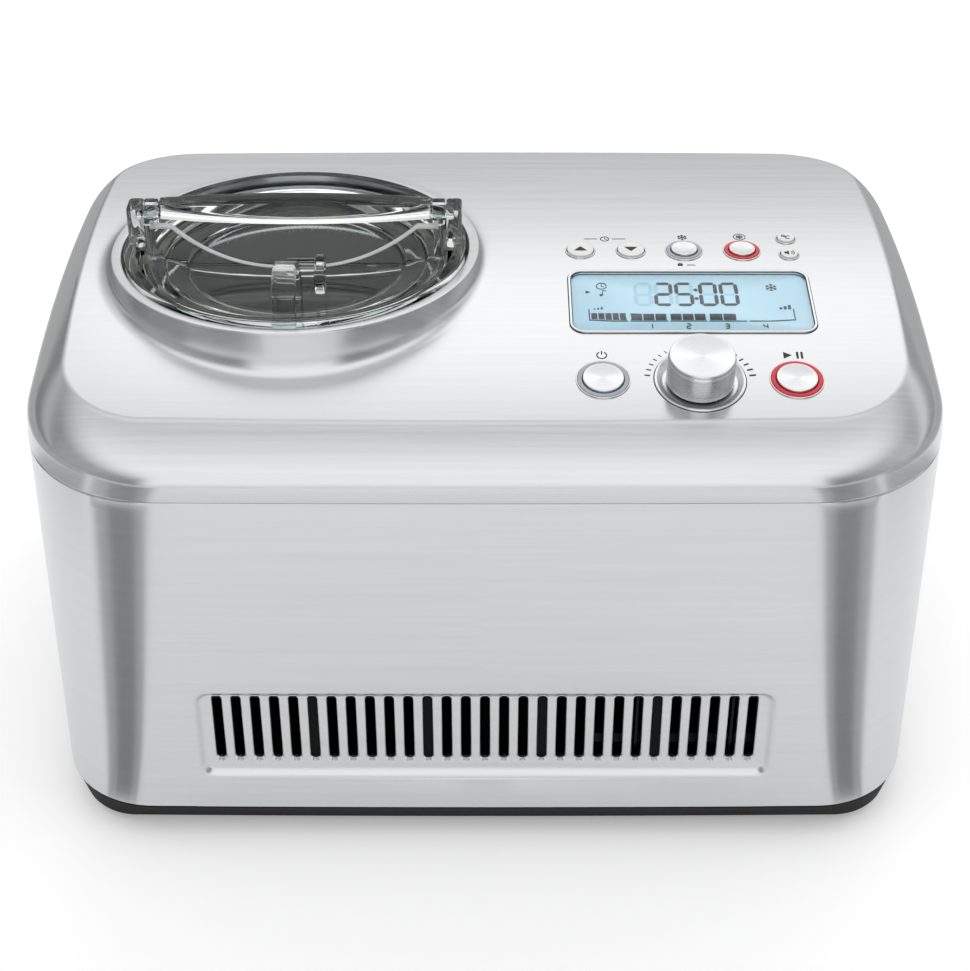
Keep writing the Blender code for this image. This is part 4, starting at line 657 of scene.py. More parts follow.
def cover_shape():
    half_x, half_y, corner = face_sizes
    wide = soft_outline(HALF_W, HALF_D, CORNER_WIDEST, BOW_FRONT, BOW_SIDE)
    face = soft_outline(half_x, half_y, corner, 2.9, 4.4)
    start, top = COVER_FOOT + BAND, crown(face[:, 1]) - 0.3
    foot = [raised(body_outline(0.2 + tuck, CORNER_AT_SEAM), COVER_FOOT + up)
            for tuck, up in ((1.0, 0.0), (0.25, 0.1), (0.0, 0.7))]
    rows = [*foot, raised(wide, start)]
    for up in np.linspace(0, 1, 34)[1:]:
        rows.append(raised(wide + (face - wide) * up**SHOULDER_POWER, start + (top - start) * up))
    for inset in (CREASE, 2 * CREASE, 4 * CREASE):
        edge = soft_outline(half_x - inset, half_y - inset, corner - inset, 2.9, 4.4)
        rows.append(raised(edge, crown(edge[:, 1])))
    collar = collar_rows()
    dish = placed((np.column_stack([circle(DISH_RADIUS + 0.3, 64), np.zeros(64)]), []),
                  face_frame(PANEL_X, FRONT_ROW))[0]
    pane = rounded_rectangle(WINDOW_HALF_X + FRAME_WIDTH + 0.3, WINDOW_HALF_Y + FRAME_WIDTH + 0.3,
                             WINDOW_CORNER + FRAME_WIDTH)
    pane = placed((np.column_stack([pane, np.zeros(len(pane))]), []), face_frame(PANEL_X, WINDOW_Y))[0]
    holes = [collar[0], dish, pane, *[hole_outline(name) for name in controls]]
    flat, triangles = filled(edge, holes, 5.0)
    top_face = (np.column_stack([flat, crown(flat[:, 1])]), triangles)
    return joined([top_face, skin(np.stack(rows)), skin(collar)])


cover = piece("cover", cover_shape(), STEEL, "cabinet", ("top_cover",), 24.0, 1.1)
lay_map(cover, "Brush", plan_map)

# %% [markdown]
# ## The wall and its grille
#
# The wall is one wrapped sheet. Its corners are a little tighter at the foot than at the seam.
# The front carries the air intake: a shallow pressed tray with a sloped border, and a row of
# long slots. Each slot's edge is rolled inwards, and its lower end is flared and fluted, which
# sparkles. The front is filled between those outlines; the rest of the wrap is a plain grid. The
# vent's window and the inlet's hole are cut through its back once the sheet has its thickness.

# %% Wall
GRILLE_HALF_X, GRILLE_LOW, GRILLE_HIGH, GRILLE_DEPTH, GRILLE_BEVEL = 128.5, 38.0, 87.0, 2.5, 3.0
SLOTS, SLOT_PITCH, SLOT_RADIUS, SLOT_LOW, SLOT_HIGH = 29, 8.51, 2.0, 46.5, 84.0
ROLL, FLARE, FLUTES, FLUTE_DEPTH = 0.9, 1.5, 7, 0.5
PANEL_EDGE = 133.0
WALL_INSET = 0.4
levels = np.concatenate([[WALL_BOTTOM, WALL_BOTTOM + 0.5], np.linspace(24, 184, 14),
                         [WALL_TOP - 0.8, WALL_TOP]])


def front_y(x):
    """Depth of the wall's front face, a very shallow arc."""
    half_x = HALF_W - WALL_INSET
    long_r = (half_x**2 + BOW_FRONT**2) / (2 * BOW_FRONT)
    return WALL_INSET - HALF_D + long_r - np.sqrt(long_r**2 - x**2)


def on_front(outline, depth):
    """Points of an (x, z) outline on the front face, sunk by a depth."""
    return np.column_stack([outline[:, 0], front_y(outline[:, 0]) + depth, outline[:, 1]])


def tucked(height):
    """The sheet's upper and lower edges are eased in a little."""
    near = np.minimum(height - WALL_BOTTOM, WALL_TOP - height)
    return 0.35 * np.clip(1 - near / 0.5, 0, 1)


def wall_strip(height):
    """The wrap at one level, from the panel's right edge round the back to its left edge."""
    share = (height - WALL_BOTTOM) / (WALL_TOP - WALL_BOTTOM)
    corner = CORNER_AT_TRAY + (CORNER_AT_SEAM - CORNER_AT_TRAY) * share
    sizes = (HALF_W - WALL_INSET, HALF_D - WALL_INSET, corner - WALL_INSET, BOW_FRONT, BOW_SIDE)
    front, back = soft_quarter(*sizes, PANEL_EDGE, (2, 26, 10)), soft_quarter(*sizes)
    right = np.vstack([front, back[::-1][1:] * [1, -1]])
    whole = np.vstack([right, right[::-1][1:] * [-1, 1]])
    return raised(whole * (1 - tucked(height) / HALF_D), height)


def grille_ring(shrink):
    outline = rounded_rectangle(GRILLE_HALF_X - shrink, (GRILLE_HIGH - GRILLE_LOW) / 2 - shrink,
                                6.0 - shrink / 2)
    return outline + [0, (GRILLE_LOW + GRILLE_HIGH) / 2]


def slot_rows(x):
    """Rolled edge of a slot. From the flat sheet the edge falls a quarter ellipse inwards;
    the lower end starts further out and its depth waves round the end."""
    upper, lower = np.linspace(0, math.pi, 14), np.linspace(math.pi, 2 * math.pi, 57)
    angle = np.concatenate([upper, lower])
    low_end = np.concatenate([np.zeros(14), np.ones(57)])
    middle = np.where(low_end > 0, SLOT_LOW + SLOT_RADIUS, SLOT_HIGH - SLOT_RADIUS)
    bottom = low_end * np.abs(np.sin(angle))
    reach = ROLL + FLARE * np.sqrt(bottom)
    wave = 0.5 - 0.5 * np.cos(2 * FLUTES * (angle - math.pi))
    rows = []
    for t in np.linspace(0, 1, 8):
        radius = SLOT_RADIUS + reach * (1 - math.sin(t * math.pi / 2))
        depth = 1.0 - math.cos(t * math.pi / 2) + FLUTE_DEPTH * wave * bottom * math.sin(math.pi * t)
        ring = np.column_stack([x + radius * np.cos(angle), middle + radius * np.sin(angle)])
        rows.append(on_front(ring, GRILLE_DEPTH + depth))
    rows.append(rows[-1] + [0, 1.6, 0])
    return np.stack(rows)


def wall_shape():
    wrap = np.stack([wall_strip(height) for height in levels])
    across = np.linspace(-PANEL_EDGE, PANEL_EDGE, 24)[1:-1]
    edge_y = front_y(PANEL_EDGE)
    frame_loop = np.vstack([
        np.column_stack([across, np.full(22, levels[0])]),
        np.column_stack([np.full(len(levels), PANEL_EDGE), levels]),
        np.column_stack([across[::-1], np.full(22, levels[-1])]),
        np.column_stack([np.full(len(levels), -PANEL_EDGE), levels[::-1]]),
    ])
    t = np.linspace(0, 1, 9)
    border = np.stack([on_front(grille_ring(-1.0 + (GRILLE_BEVEL + 1.0) * s),
                                GRILLE_DEPTH * (s * s * (3 - 2 * s))) for s in t])
    slots = [slot_rows((k - (SLOTS - 1) / 2) * SLOT_PITCH) for k in range(SLOTS)]
    sheet, sheet_faces = filled(frame_loop, [border[0][:, [0, 2]]], 12.0)
    tray, tray_faces = filled(border[-1][:, [0, 2]], [rows[0][:, [0, 2]] for rows in slots], 4.0)
    sheet = on_front(sheet, 0.0)
    sheet[:, 1] += tucked(sheet[:, 2])
    wrap[:, [0, -1], 1] = edge_y + tucked(levels)[:, None]
    wrap[:, 0, 0], wrap[:, -1, 0] = PANEL_EDGE, -PANEL_EDGE
    return joined([skin(wrap, around=False), (sheet, sheet_faces), skin(border),
                   (on_front(tray, GRILLE_DEPTH), tray_faces), *[skin(rows) for rows in slots]])


def wrap_map(spots, middle):
    """Brushing along the wrap: u is the length round it, v is the height."""
    ring = body_outline(WALL_INSET, CORNER_AT_SEAM)
    ring = np.vstack([ring, ring[:1]])
    length = np.concatenate([[0], np.cumsum(np.linalg.norm(np.diff(ring, axis=0), axis=1))])
    turn = np.unwrap(np.arctan2(ring[:, 1], ring[:, 0]))
    whole = 2 * math.pi

    def along(p):
        angle = turn[0] + (np.arctan2(p[:, 1], p[:, 0]) - turn[0]) % whole
        return np.interp(angle, turn, length)

    u, centre = along(spots), along(middle)
    u = centre + (u - centre + length[-1] / 2) % length[-1] - length[-1] / 2
    return np.stack([u, spots[:, 2]], -1)


def rear_openings():
    """Outlines (x, z) of the vent's window and the inlet's hole: each piece's flange is wider
    than its opening, by 4 mm round the vent and 2.7 mm round the inlet."""
    low, high = node_box("rear_vent_panel")
    middle, half = (low + high) / 2, (high - low) / 2
    window = rounded_rectangle(half[0] - 4.0, half[2] - 3.7, 6.0) + middle[[0, 2]]
    low, high = node_box("power_inlet")
    hole = circle((high[0] - low[0]) / 2 - 2.7, 40) + ((low + high) / 2)[[0, 2]]
    return [window, hole]


def cut_rear(made, outlines, sharp):
    """Cuts prisms through the back of a closed piece."""
    for k, outline in enumerate(outlines):
        count = len(outline)
        points = [(x, y, z) for y in (HALF_D - 25, HALF_D + 5) for x, z in outline.tolist()]
        faces = [list(range(count)), list(range(count, 2 * count))]
        faces += [[i, (i + 1) % count, count + (i + 1) % count, count + i] for i in range(count)]
        mesh = bpy.data.meshes.new(f"cutter_{k}")
        mesh.from_pydata(np.array(points) * MM, [], faces)
        work = bmesh.new()
        work.from_mesh(mesh)
        bmesh.ops.recalc_face_normals(work, faces=work.faces)
        work.to_mesh(mesh)
        work.free()
        cutter = bpy.data.objects.new(mesh.name, mesh)
        bpy.context.scene.collection.objects.link(cutter)
        cut = made.modifiers.new("cut", "BOOLEAN")
        cut.operation, cut.solver, cut.object = "DIFFERENCE", "EXACT", cutter
        bpy.context.view_layer.update()
        shaped = bpy.data.meshes.new_from_object(made.evaluated_get(bpy.context.evaluated_depsgraph_get()))
        made.modifiers.clear()
        old, made.data = made.data, shaped
        bpy.data.meshes.remove(old)
        bpy.data.objects.remove(cutter)
        bpy.data.meshes.remove(mesh)
    made.data.name = made.name
    made.data.set_sharp_from_angle(angle=math.radians(sharp))
    print(f"{made.name}: {len(made.data.polygons)} faces after the rear cuts")


wall = piece("wall", wall_shape(), STEEL, "cabinet", ("body_shell",), 30.0, 0.9)
cut_rear(wall, rear_openings(), 30.0)
lay_map(wall, "Brush", wrap_map)

# %% [markdown]
# ## The base and the feet
#
# The steel stands on a black tray that narrows towards the worktop, so the machine seems to
# float. The tray is a stack of outlines; the feet are turned rubber pads with a soft edge.

# %% Base and feet
tray_low, tray_high = node_box("base_tray")
TRAY_TAPER, TRAY_EDGE = 7.0, 18.0


def tray_shape():
    section = [(TRAY_TAPER + 3.0, 34.0, tray_low[2]), (TRAY_TAPER + 0.8, 34.0, tray_low[2] + 0.6),
               (TRAY_TAPER, 34.0, tray_low[2] + 2.0), (1.2, CORNER_AT_TRAY, TRAY_EDGE - 1.0),
               (0.8, CORNER_AT_TRAY, TRAY_EDGE - 0.4), (1.0, CORNER_AT_TRAY, TRAY_EDGE),
               (2.5, CORNER_AT_TRAY, TRAY_EDGE), (2.5, CORNER_AT_TRAY, tray_high[2]),
               (5.5, CORNER_AT_TRAY, tray_high[2]), (TRAY_TAPER + 3.0, 34.0, tray_low[2] + 3.0)]
    rows = np.stack([raised(body_outline(inset, corner), z) for inset, corner, z in section])
    floor = rows[[0, -1]].copy()
    floor[:, :, :2] = 0.0
    return skin(np.concatenate([floor[:1], rows, floor[1:]]))


piece("base", tray_shape(), BLACK_ABS, "cabinet", ("base_tray",))
for name in ("foot_front_left", "foot_front_right", "foot_rear_left", "foot_rear_right"):
    low, high = node_box(name)
    spot = (np.eye(3), np.array([(low[0] + high[0]) / 2, (low[1] + high[1]) / 2, 0.0]))
    profile = eased([(0, 0), (11.6, 0), (12.0, 2.4), (11.2, 4.7), (4.5, 4.7), (4.5, 8.3), (6, 8.3),
                     (0, 12.2)], 0.9)
    piece(name + "_pad", placed(skin(turned(profile, 56)), spot), RUBBER, "cabinet", (name,))

# %% [markdown]
# ## Buttons, light rings and the dial
#
# The caps are short pistons, faintly dished, with a rounded edge. Each is turned from a profile
# and then carried to its own place on the crown. Four of them stand in moulded light guides.
# The dial is a plain spun drum in a dished ring.

# %% Buttons
RINGS = {
    "power_button": ("power_light_ring", GREY_GUIDE, "clear_ring"),
    "start_pause_button": ("start_light_ring", RED_GUIDE, "red_ring"),
    "pre_cool_button": ("pre_cool_light_ring", GREY_GUIDE, "clear_ring"),
    "keep_cool_button": ("keep_cool_light_ring", RED_GUIDE, "red_ring"),
}


def cap_profile(radius, proud, dish):
    """Half section of a cap: the top falls towards the middle with the square of the radius."""
    r = np.linspace(0, radius - 0.9, 9)
    top = np.column_stack([r, proud - dish * (1 - (r / r[-1]) ** 2)])
    side = eased([top[-1], (radius - 0.3, proud), (radius - 0.3, -3.0), (2.0, -3.0), (2.0, -9.0),
                  (0, -9.0)], 0.7)
    return np.vstack([top[:-1], side])


for name, (x, y, cap, ring) in controls.items():
    spot = face_frame(x, y)
    proud = 1.6 if ring else 1.2
    shape = placed(skin(turned(cap_profile(cap, proud, 0.35 if ring else 0.15), 72)), spot)
    if ring:
        made = piece(name + "_cap", shape, SPUN, name, (name,))
        lay_map(made, "Spun", spun_map(spot))
        ring_name, glow, slot = RINGS[name]
        loop = eased([(cap + 0.05, -2.4), (ring, -2.4), (ring, 0.75), (cap + 0.05, 0.75)], 0.4, closed=True)
        piece(ring_name + "_guide", placed(skin(turned(loop, 72), closed=True), spot), glow, "cabinet",
              (ring_name,))
    else:
        piece(name + "_cap", shape, WHITE_CAP, name, (name,))

# %% Bezels and dial
def bezel(name, x, y, inner, outer, replaces=()):
    """A thin turned ring that trims a round control."""
    spot = face_frame(x, y)
    loop = eased([(inner, -1.2), (outer, -1.2), (outer, 0.45), (inner, 0.45)], 0.25, 4, closed=True)
    shape = placed(skin(turned(loop, 80), closed=True), spot)
    made = piece(name, shape, SPUN, "cabinet", replaces)
    lay_map(made, "Spun", spun_map(spot))


for name, (x, y, cap, ring) in controls.items():
    radius = (ring or cap) + 0.05
    bezel(name + "_bezel", x, y, radius, radius + 0.65)

KNOB_HEIGHT = 14.0
dial_spot = face_frame(PANEL_X, FRONT_ROW)
dish = eased([(3.3, -2.6), (DISH_RADIUS, -2.6), (DISH_RADIUS, 0.55), (DISH_RADIUS - 1.1, 0.55),
              (KNOB_RADIUS + 1.6, -1.3), (3.3, -1.3)], 0.5, closed=True)
dial_dish = piece("dial_seat", placed(skin(turned(dish, 96), closed=True), dial_spot), SPUN, "cabinet",
                  ("dial_dish",))
lay_map(dial_dish, "Spun", spun_map(dial_spot))
r = np.linspace(0, KNOB_RADIUS - 1.4, 12)
top = np.column_stack([r, KNOB_HEIGHT - 0.5 * (1 - (r / r[-1]) ** 2)])
drum = eased([top[-1], (KNOB_RADIUS - 0.5, KNOB_HEIGHT), (KNOB_RADIUS - 0.5, KNOB_HEIGHT - 1.6),
              (KNOB_RADIUS, KNOB_HEIGHT - 2.1), (KNOB_RADIUS, 0.0), (3.3, 0.0), (3.3, 10.3), (0, 10.3)], 0.5)
dial = piece("dial_drum", placed(skin(turned(np.vstack([top[:-1], drum]), 128)), dial_spot), SPUN, "dial",
             ("dial_knob",))
lay_map(dial, "Spun", spun_map(dial_spot))

# %% [markdown]
# ## The window and the screen
#
# A clear acrylic pane lies in a thin bright frame, flush with the steel. Under it the screen
# shows generic marks only: a four-digit readout, a bar of segments and a row of pictograms.
# Each mark is a list of flat shapes, thickened into thin slabs.


# %% Flat marks
def ribbon(path, width):
    """Quads of a line of the given width along a flat path."""
    path = np.asarray(path, float)
    ahead = np.gradient(path, axis=0)
    ahead /= np.linalg.norm(ahead, axis=1)[:, None]
    side = np.stack([-ahead[:, 1], ahead[:, 0]], -1) * width / 2
    left, right = path + side, path - side
    return [np.stack([right[k], right[k + 1], left[k + 1], left[k]]) for k in range(len(path) - 1)]


def arc_line(radius, width, start, end, steps=24, centre=(0, 0)):
    return ribbon(circle(radius, steps, math.radians(start), math.radians(end)) + centre, width)


def moved(shapes, x, y, scale=1.0):
    return [shape * scale + [x, y] for shape in shapes]


def slabs(shapes, low, high):
    """Each flat shape as a closed slab between two heights."""
    parts = []
    for outline in shapes:
        rows = np.stack([raised(outline, low), raised(outline, high)])
        points, faces = skin(rows)
        count = len(outline)
        faces += [list(range(count))[::-1], list(range(count, 2 * count))]
        parts.append((points, faces))
    return joined(parts)


def on_crown(shape, x, y):
    """A shape drawn about (x, y), with its heights counted from the top face."""
    points = shape[0] + [x, y, 0]
    points[:, 2] += crown(points[:, 1])
    return points, shape[1]


DIGITS = {"0": "abcdef", "1": "bc", "2": "abged", "3": "abgcd", "4": "fgbc", "5": "afgcd",
          "6": "afgedc", "7": "abc", "8": "abcdefg", "9": "abcdfg"}


def digit(value, width, height, stroke):
    """A seven-segment digit: each lit segment is a pointed bar between two of six corners."""
    w, h = width / 2, height / 2
    ends = {"a": ((-w, h), (w, h)), "b": ((w, h), (w, 0)), "c": ((w, 0), (w, -h)), "d": ((-w, -h), (w, -h)),
            "e": ((-w, 0), (-w, -h)), "f": ((-w, h), (-w, 0)), "g": ((-w, 0), (w, 0))}
    shapes = []
    for key in DIGITS[value]:
        start, end = (np.array(p, float) for p in ends[key])
        along = (end - start) / np.linalg.norm(end - start)
        start, end = start + along * stroke * 0.12, end - along * stroke * 0.12
        side = np.array([-along[1], along[0]]) * stroke / 2
        point = along * stroke / 2
        shapes.append(np.stack([start, start + point - side, end - point - side, end,
                                end - point + side, start + point + side]))
    return shapes


def disc(radius, steps=24):
    return [circle(radius, steps)]


def polygon(*corners):
    return [np.array(corners, float)]


def bar(x0, x1, y0, y1):
    return polygon((x0, y0), (x1, y0), (x1, y1), (x0, y1))


def snowflake(size, width):
    """Six arms, each with one pair of twigs."""
    shapes = []
    for k in range(6):
        t = math.radians(60 * k + 30)
        turn = np.array([[math.cos(t), math.sin(t)], [-math.sin(t), math.cos(t)]])
        for path in ([(0, 0), (size, 0)], [(size * 0.55, 0), (size * 0.85, size * 0.28)],
                     [(size * 0.55, 0), (size * 0.85, -size * 0.28)]):
            shapes += [shape @ turn for shape in ribbon(path, width)]
    return shapes


# %% Window and screen
window_spot = face_frame(PANEL_X, WINDOW_Y)


def layered(outline_sizes):
    """Rows of rounded rectangles: (half x, half y, corner, height)."""
    return np.stack([raised(rounded_rectangle(a, b, c), z) for a, b, c, z in outline_sizes])


def solid_rows(rows):
    """A closed stack of rows, its first and last shut with a point in the middle."""
    first, last = rows[:1].copy(), rows[-1:].copy()
    first[:, :, :2] = rows[0, :, :2].mean(0)
    last[:, :, :2] = rows[-1, :, :2].mean(0)
    return skin(np.concatenate([first, rows, last]))


a, b, c = WINDOW_HALF_X, WINDOW_HALF_Y, WINDOW_CORNER
pane = layered([(a - 0.3, b - 0.3, c - 0.3, -2.0), (a - 0.3, b - 0.3, c - 0.3, -0.1),
                (a - 0.5, b - 0.5, c - 0.5, 0.1)])
piece("window_pane", placed(solid_rows(pane), window_spot), PANE, "cabinet",
      ("display_window",), 60)
section = eased([(0.0, -2.6), (FRAME_WIDTH, -2.6), (FRAME_WIDTH, 0.5), (0.0, 0.5)], 0.35, 4, closed=True)
frame_rows = layered([(a + out, b + out, c + out, z) for out, z in section])
window_frame = piece("window_frame", placed(skin(frame_rows, closed=True), window_spot), SPUN, "cabinet",
                     ("display_frame_ring",))
lay_map(window_frame, "Spun", spun_map(window_spot))
screen = layered([(a - 0.4, b - 0.4, c - 0.4, -7.9), (a - 0.4, b - 0.4, c - 0.4, -2.9)])
piece("screen", placed(solid_rows(screen), window_spot), SCREEN, "cabinet", ("lcd_module",))

READOUT, READOUT_Y, DIGIT_W, DIGIT_H, DIGIT_STROKE = "2500", 7.4, 6.6, 15.0, 1.7
places = (-13.5, -4.3, 6.4, 15.6)
dark = []
for value, x in zip(READOUT, places):
    dark += moved(digit(value, DIGIT_W, DIGIT_H, DIGIT_STROKE), x + 2.0, READOUT_Y)
dark += moved(disc(0.95), 3.0, READOUT_Y + 3.0) + moved(disc(0.95), 3.0, READOUT_Y - 3.0)
for start, end, count in ((-44.0, -28.6, 5), (-27.0, -11.0, 3), (-9.6, 6.2, 3), (7.6, 19.6, 2)):
    step = (end - start) / count
    for k in range(count):
        dark += bar(start + k * step + 0.25, start + (k + 1) * step - 0.25, -10.6, -6.4)
for x0, x1 in ((-44.6, -28.2), (-27.2, -10.6), (-9.8, 6.6), (7.4, 24.0), (25.0, 44.6)):
    dark += bar(x0, x1, -11.6, -11.1)
dark += bar(-44.9, -44.4, -11.6, -3.4) + bar(44.4, 44.9, -11.6, -3.4)
dark += polygon((-45.6, 10.6), (-43.6, 9.4), (-45.6, 8.2))
for k, value in enumerate("1234"):
    dark += moved(digit(value, 1.7, 3.0, 0.5), -18.6 + 16.8 * k, -14.8)
dark += moved(snowflake(2.6, 0.45), 36.5, 12.6)
small_clock = arc_line(2.2, 0.5, 0, 360, 25) + ribbon([(0, 1.4), (0, 0), (1.0, -0.6)], 0.45)
dark += moved(small_clock, -38.5, 13.8)
dark += moved(disc(0.8) + bar(0.45, 0.8, 0.0, 3.4) + bar(0.8, 2.2, 2.9, 3.4), -38.8, 7.2)
for k in range(3):
    dark += bar(-42.6 + 1.6 * k, -41.8 + 1.6 * k, -3.6, -2.9 + 0.5 * k)
    dark += bar(38.6 + 1.9 * k, 39.9 + 1.9 * k, -3.6, -2.2 + 0.8 * k)
faint = []
for x in (-22.4, *places):
    faint += moved(digit("8", DIGIT_W, DIGIT_H, DIGIT_STROKE), x + 2.0, READOUT_Y)
piece("lit_segments", placed(slabs(dark, -2.84, -2.74), window_spot), SEGMENT, "cabinet")
piece("unlit_segments", placed(slabs(faint, -2.895, -2.86), window_spot), FAINT, "cabinet")

# %% [markdown]
# ## Printed marks
#
# The words on the panel are replaced by plain pictograms, one for what each control does:
# a power sign, a play and pause pair, snowflakes, a clock, an up and a down arrow, a degree
# sign, a loudspeaker, and a scale of growing ticks round the dial.

# %% Print
INK_LOW, INK_HIGH = -0.15, 0.07


def print_on(name, shapes, x, y):
    return on_crown(slabs(shapes, INK_LOW, INK_HIGH), x, y)


power_sign = arc_line(2.1, 0.55, 120, 420, 30) + bar(-0.28, 0.28, 0.6, 2.7)
play_pause = polygon((-4.2, -2.1), (-0.6, 0), (-4.2, 2.1))
play_pause += bar(1.3, 2.3, -2.1, 2.1) + bar(3.2, 4.2, -2.1, 2.1)
clock = arc_line(1.9, 0.45, 0, 360, 33) + ribbon([(0, 1.3), (0, 0), (1.0, -0.55)], 0.4)
clock += bar(-9.5, -3.4, -0.2, 0.2) + bar(3.4, 9.5, -0.2, 0.2)
hold = arc_line(0.8, 0.35, 0, 180, 12) + bar(-1.2, 1.2, -1.5, 0.1)
marks = [
    print_on("power", power_sign, PANEL_X - 41, FRONT_ROW + 15.4),
    print_on("start", play_pause, PANEL_X + 41, FRONT_ROW + 15.4),
    print_on("clock", clock, PANEL_X - 35.8, REAR_ROW + 10.6),
    print_on("cool", snowflake(2.3, 0.42), PANEL_X, REAR_ROW + 12.0),
    print_on("keep", snowflake(1.7, 0.38) + arc_line(2.7, 0.4, 0, 360, 33), PANEL_X + 26.5, REAR_ROW + 12.4),
    print_on("hold", moved(hold, -2.6, 0) + bar(0.4, 4.2, -1.1, -0.6), PANEL_X, REAR_ROW - 11.4),
]
ticks = []
for k in range(6):
    for side in (-1, 1):
        angle = math.radians(90 + side * (-1) * (38 + 9.0 * k))
        weight = 0.35 + (0.07 * k if side < 0 else 0.07 * k + 0.25)
        reach = 1.6 + (0.25 * k if side > 0 else 0.15 * k)
        out = np.array([math.cos(angle), math.sin(angle)])
        ticks += ribbon([out * 21.2, out * (21.2 + reach)], weight)
marks.append(on_crown(slabs(ticks, INK_LOW, INK_HIGH), PANEL_X, FRONT_ROW))
piece("panel_print", joined(marks), INK, "cabinet")


def cap_print(name, shapes):
    """Marks on top of a cap, which ride with it."""
    x, y, cap, ring = controls[name]
    top = slabs(shapes, 1.0, 1.24)
    piece(name + "_mark", placed(top, face_frame(x, y)), INK, name)


cap_print("timer_up_button", polygon((-2.9, -1.5), (2.9, -1.5), (0, 2.0)))
cap_print("timer_down_button", polygon((-2.9, 1.5), (0, -2.0), (2.9, 1.5)))
degree = moved(arc_line(0.75, 0.4, 0, 360, 21), -1.2, 0.9)
cap_print("unit_button", degree + arc_line(1.25, 0.4, 60, 300, 20, (1.0, -0.4)))
speaker = polygon((-2.2, -0.7), (-1.3, -0.7), (-0.2, -1.7), (-0.2, 1.7), (-1.3, 0.7), (-2.2, 0.7))
cap_print("sound_button", speaker + arc_line(1.3, 0.35, -45, 45, 10) + arc_line(2.3, 0.35, -45, 45, 10))

# %% [markdown]
# ## The clear lid
#
# The lid is one moulding: a rim that stands on the collar's seat, and a plate over the rear half
# that steps down towards the middle. The front half is a hatch of the same section on two hinge
# barrels, and a thin curved web runs across it and rises to them. Steps, rounded edges and real
# wall thickness are what make a clear moulding readable, so each one is modelled. All are drawn
# about the lid's own axis and then carried to the mouth.

# %% Plates
PLATE, HATCH_RADIUS, PLATE_OUTER = 2.5, 69.0, 70.9
STEPS = ((66.6, 1.6, 1.5), (60.4, 1.8, 1.8), (58.6, 1.2, 8.4), (50.2, 1.5, 1.8))


def plate_height(r):
    """Top of the plate: each step (edge, drop, width) takes t^2 (3 - 2 t) of its drop, with t
    running over the width inside its edge."""
    height = np.full(np.shape(r), -2.0)
    for edge, drop, width in STEPS:
        t = np.clip((edge - r) / width, 0.0, 1.0)
        height -= drop * t * t * (3 - 2 * t)
    return height


def plate_top(angles, outer):
    """Rows from the axis outwards, crowded at the steps."""
    knots = [0.0, 48.4, 50.2, 58.6, 60.4, 65.1, 66.6, outer - 0.5, outer - 0.15, outer]
    counts = [24, 6, 5, 6, 4, 6, 2, 1, 1]
    r = [np.linspace(a, b, count + 1)[:-1] for a, b, count in zip(knots, knots[1:], counts)]
    r = np.concatenate([*r, [outer]])[:, None]
    height = np.broadcast_to(plate_height(r), (len(r), len(angles)))
    return np.stack([r * np.cos(angles), r * np.sin(angles), height], -1)


def ends_closed(top, bottom):
    """The two strips that close a plate along its straight edge."""
    return [skin(np.stack([top[:, k], bottom[:, k]]), around=False) for k in (0, -1)]


def hatch_plate():
    angles = np.linspace(-math.pi, 0, 221)
    top = plate_top(angles, HATCH_RADIUS)
    top[-1, :, 2] -= 0.25
    top[..., 1] = top[..., 1] * (1 - 0.6 / HATCH_RADIUS) - 0.6
    bottom = top - [0, 0, PLATE]
    bottom[-1, :, 2] += 0.4
    sheet = skin(np.concatenate([top, bottom[::-1]]), around=False)
    return joined([sheet, *ends_closed(top, bottom)])


def rim_and_rear_plate():
    around = circle(1.0, 440)
    corners = [(PLATE_OUTER, -2.0), (72.3, 2.5), (LID_RADIUS, 2.5), (LID_RADIUS, -8.0), (74.8, -8.0),
               (74.8, -4.5), (PLATE_OUTER, -4.5)]
    profile = eased(corners, 0.7)
    rim = np.empty((len(profile), 440, 3))
    rim[..., :2], rim[..., 2] = profile[:, None, :1] * around, profile[:, None, 1]
    rear = np.linspace(0, math.pi, 221)
    top = plate_top(rear, PLATE_OUTER)
    top[-1, :, 2], top[-2, :, 2] = -2.0, -2.0
    bottom = top - [0, 0, PLATE]
    front = np.concatenate([rim[[0, -1], 220:], rim[[0, -1], :1]], axis=1)
    return joined([skin(rim), skin(front, around=False), skin(top, around=False), skin(bottom, around=False),
                   *ends_closed(top, bottom)])


def soft_block(x0, x1, y0, y1, z0, z1, corner, edge=0.7):
    """A moulded block: rounded upright corners, and its top and bottom edges eased."""
    a, b = (x1 - x0) / 2, (y1 - y0) / 2
    section = eased([(-edge * 2, z0), (0, z0), (0, z1), (-edge * 2, z1)], edge, 4)
    rows = layered([(a + out, b + out, max(corner + out, 0.2), z) for out, z in section])
    points, faces = solid_rows(rows)
    return points + [(x0 + x1) / 2, (y0 + y1) / 2, 0], faces


HINGE = (5.5, 15.0)


def along_x(profile, steps=48, centre=HINGE):
    """A turned solid about a level axis through the given (y, z): profile in (radius, x)."""
    rows = turned(profile, steps)
    points, faces = skin(rows, closed=True)
    return np.stack([points[:, 2], points[:, 0] + centre[0], points[:, 1] + centre[1]], -1), faces


def rod_x(radius, x0, x1, centre=HINGE, edge=0.4):
    profile = eased([(0.001, x0), (radius, x0), (radius, x1), (0.001, x1)], edge, 4)
    return along_x(profile, 40, centre)


posts = [soft_block(*sorted((side * 68.5, side * 75.5)), -2.0, 11.0, 0.4, 19.2, 2.0) for side in (-1, 1)]
lid_shape = joined([rim_and_rear_plate(), *posts])
piece("clear_lid", placed(lid_shape, MOUTH), CLEAR, "lid", ("lid",), 30)


# %% Bar and hatch
BAR_HALF, BAR_REAR = 61.4, 12.0


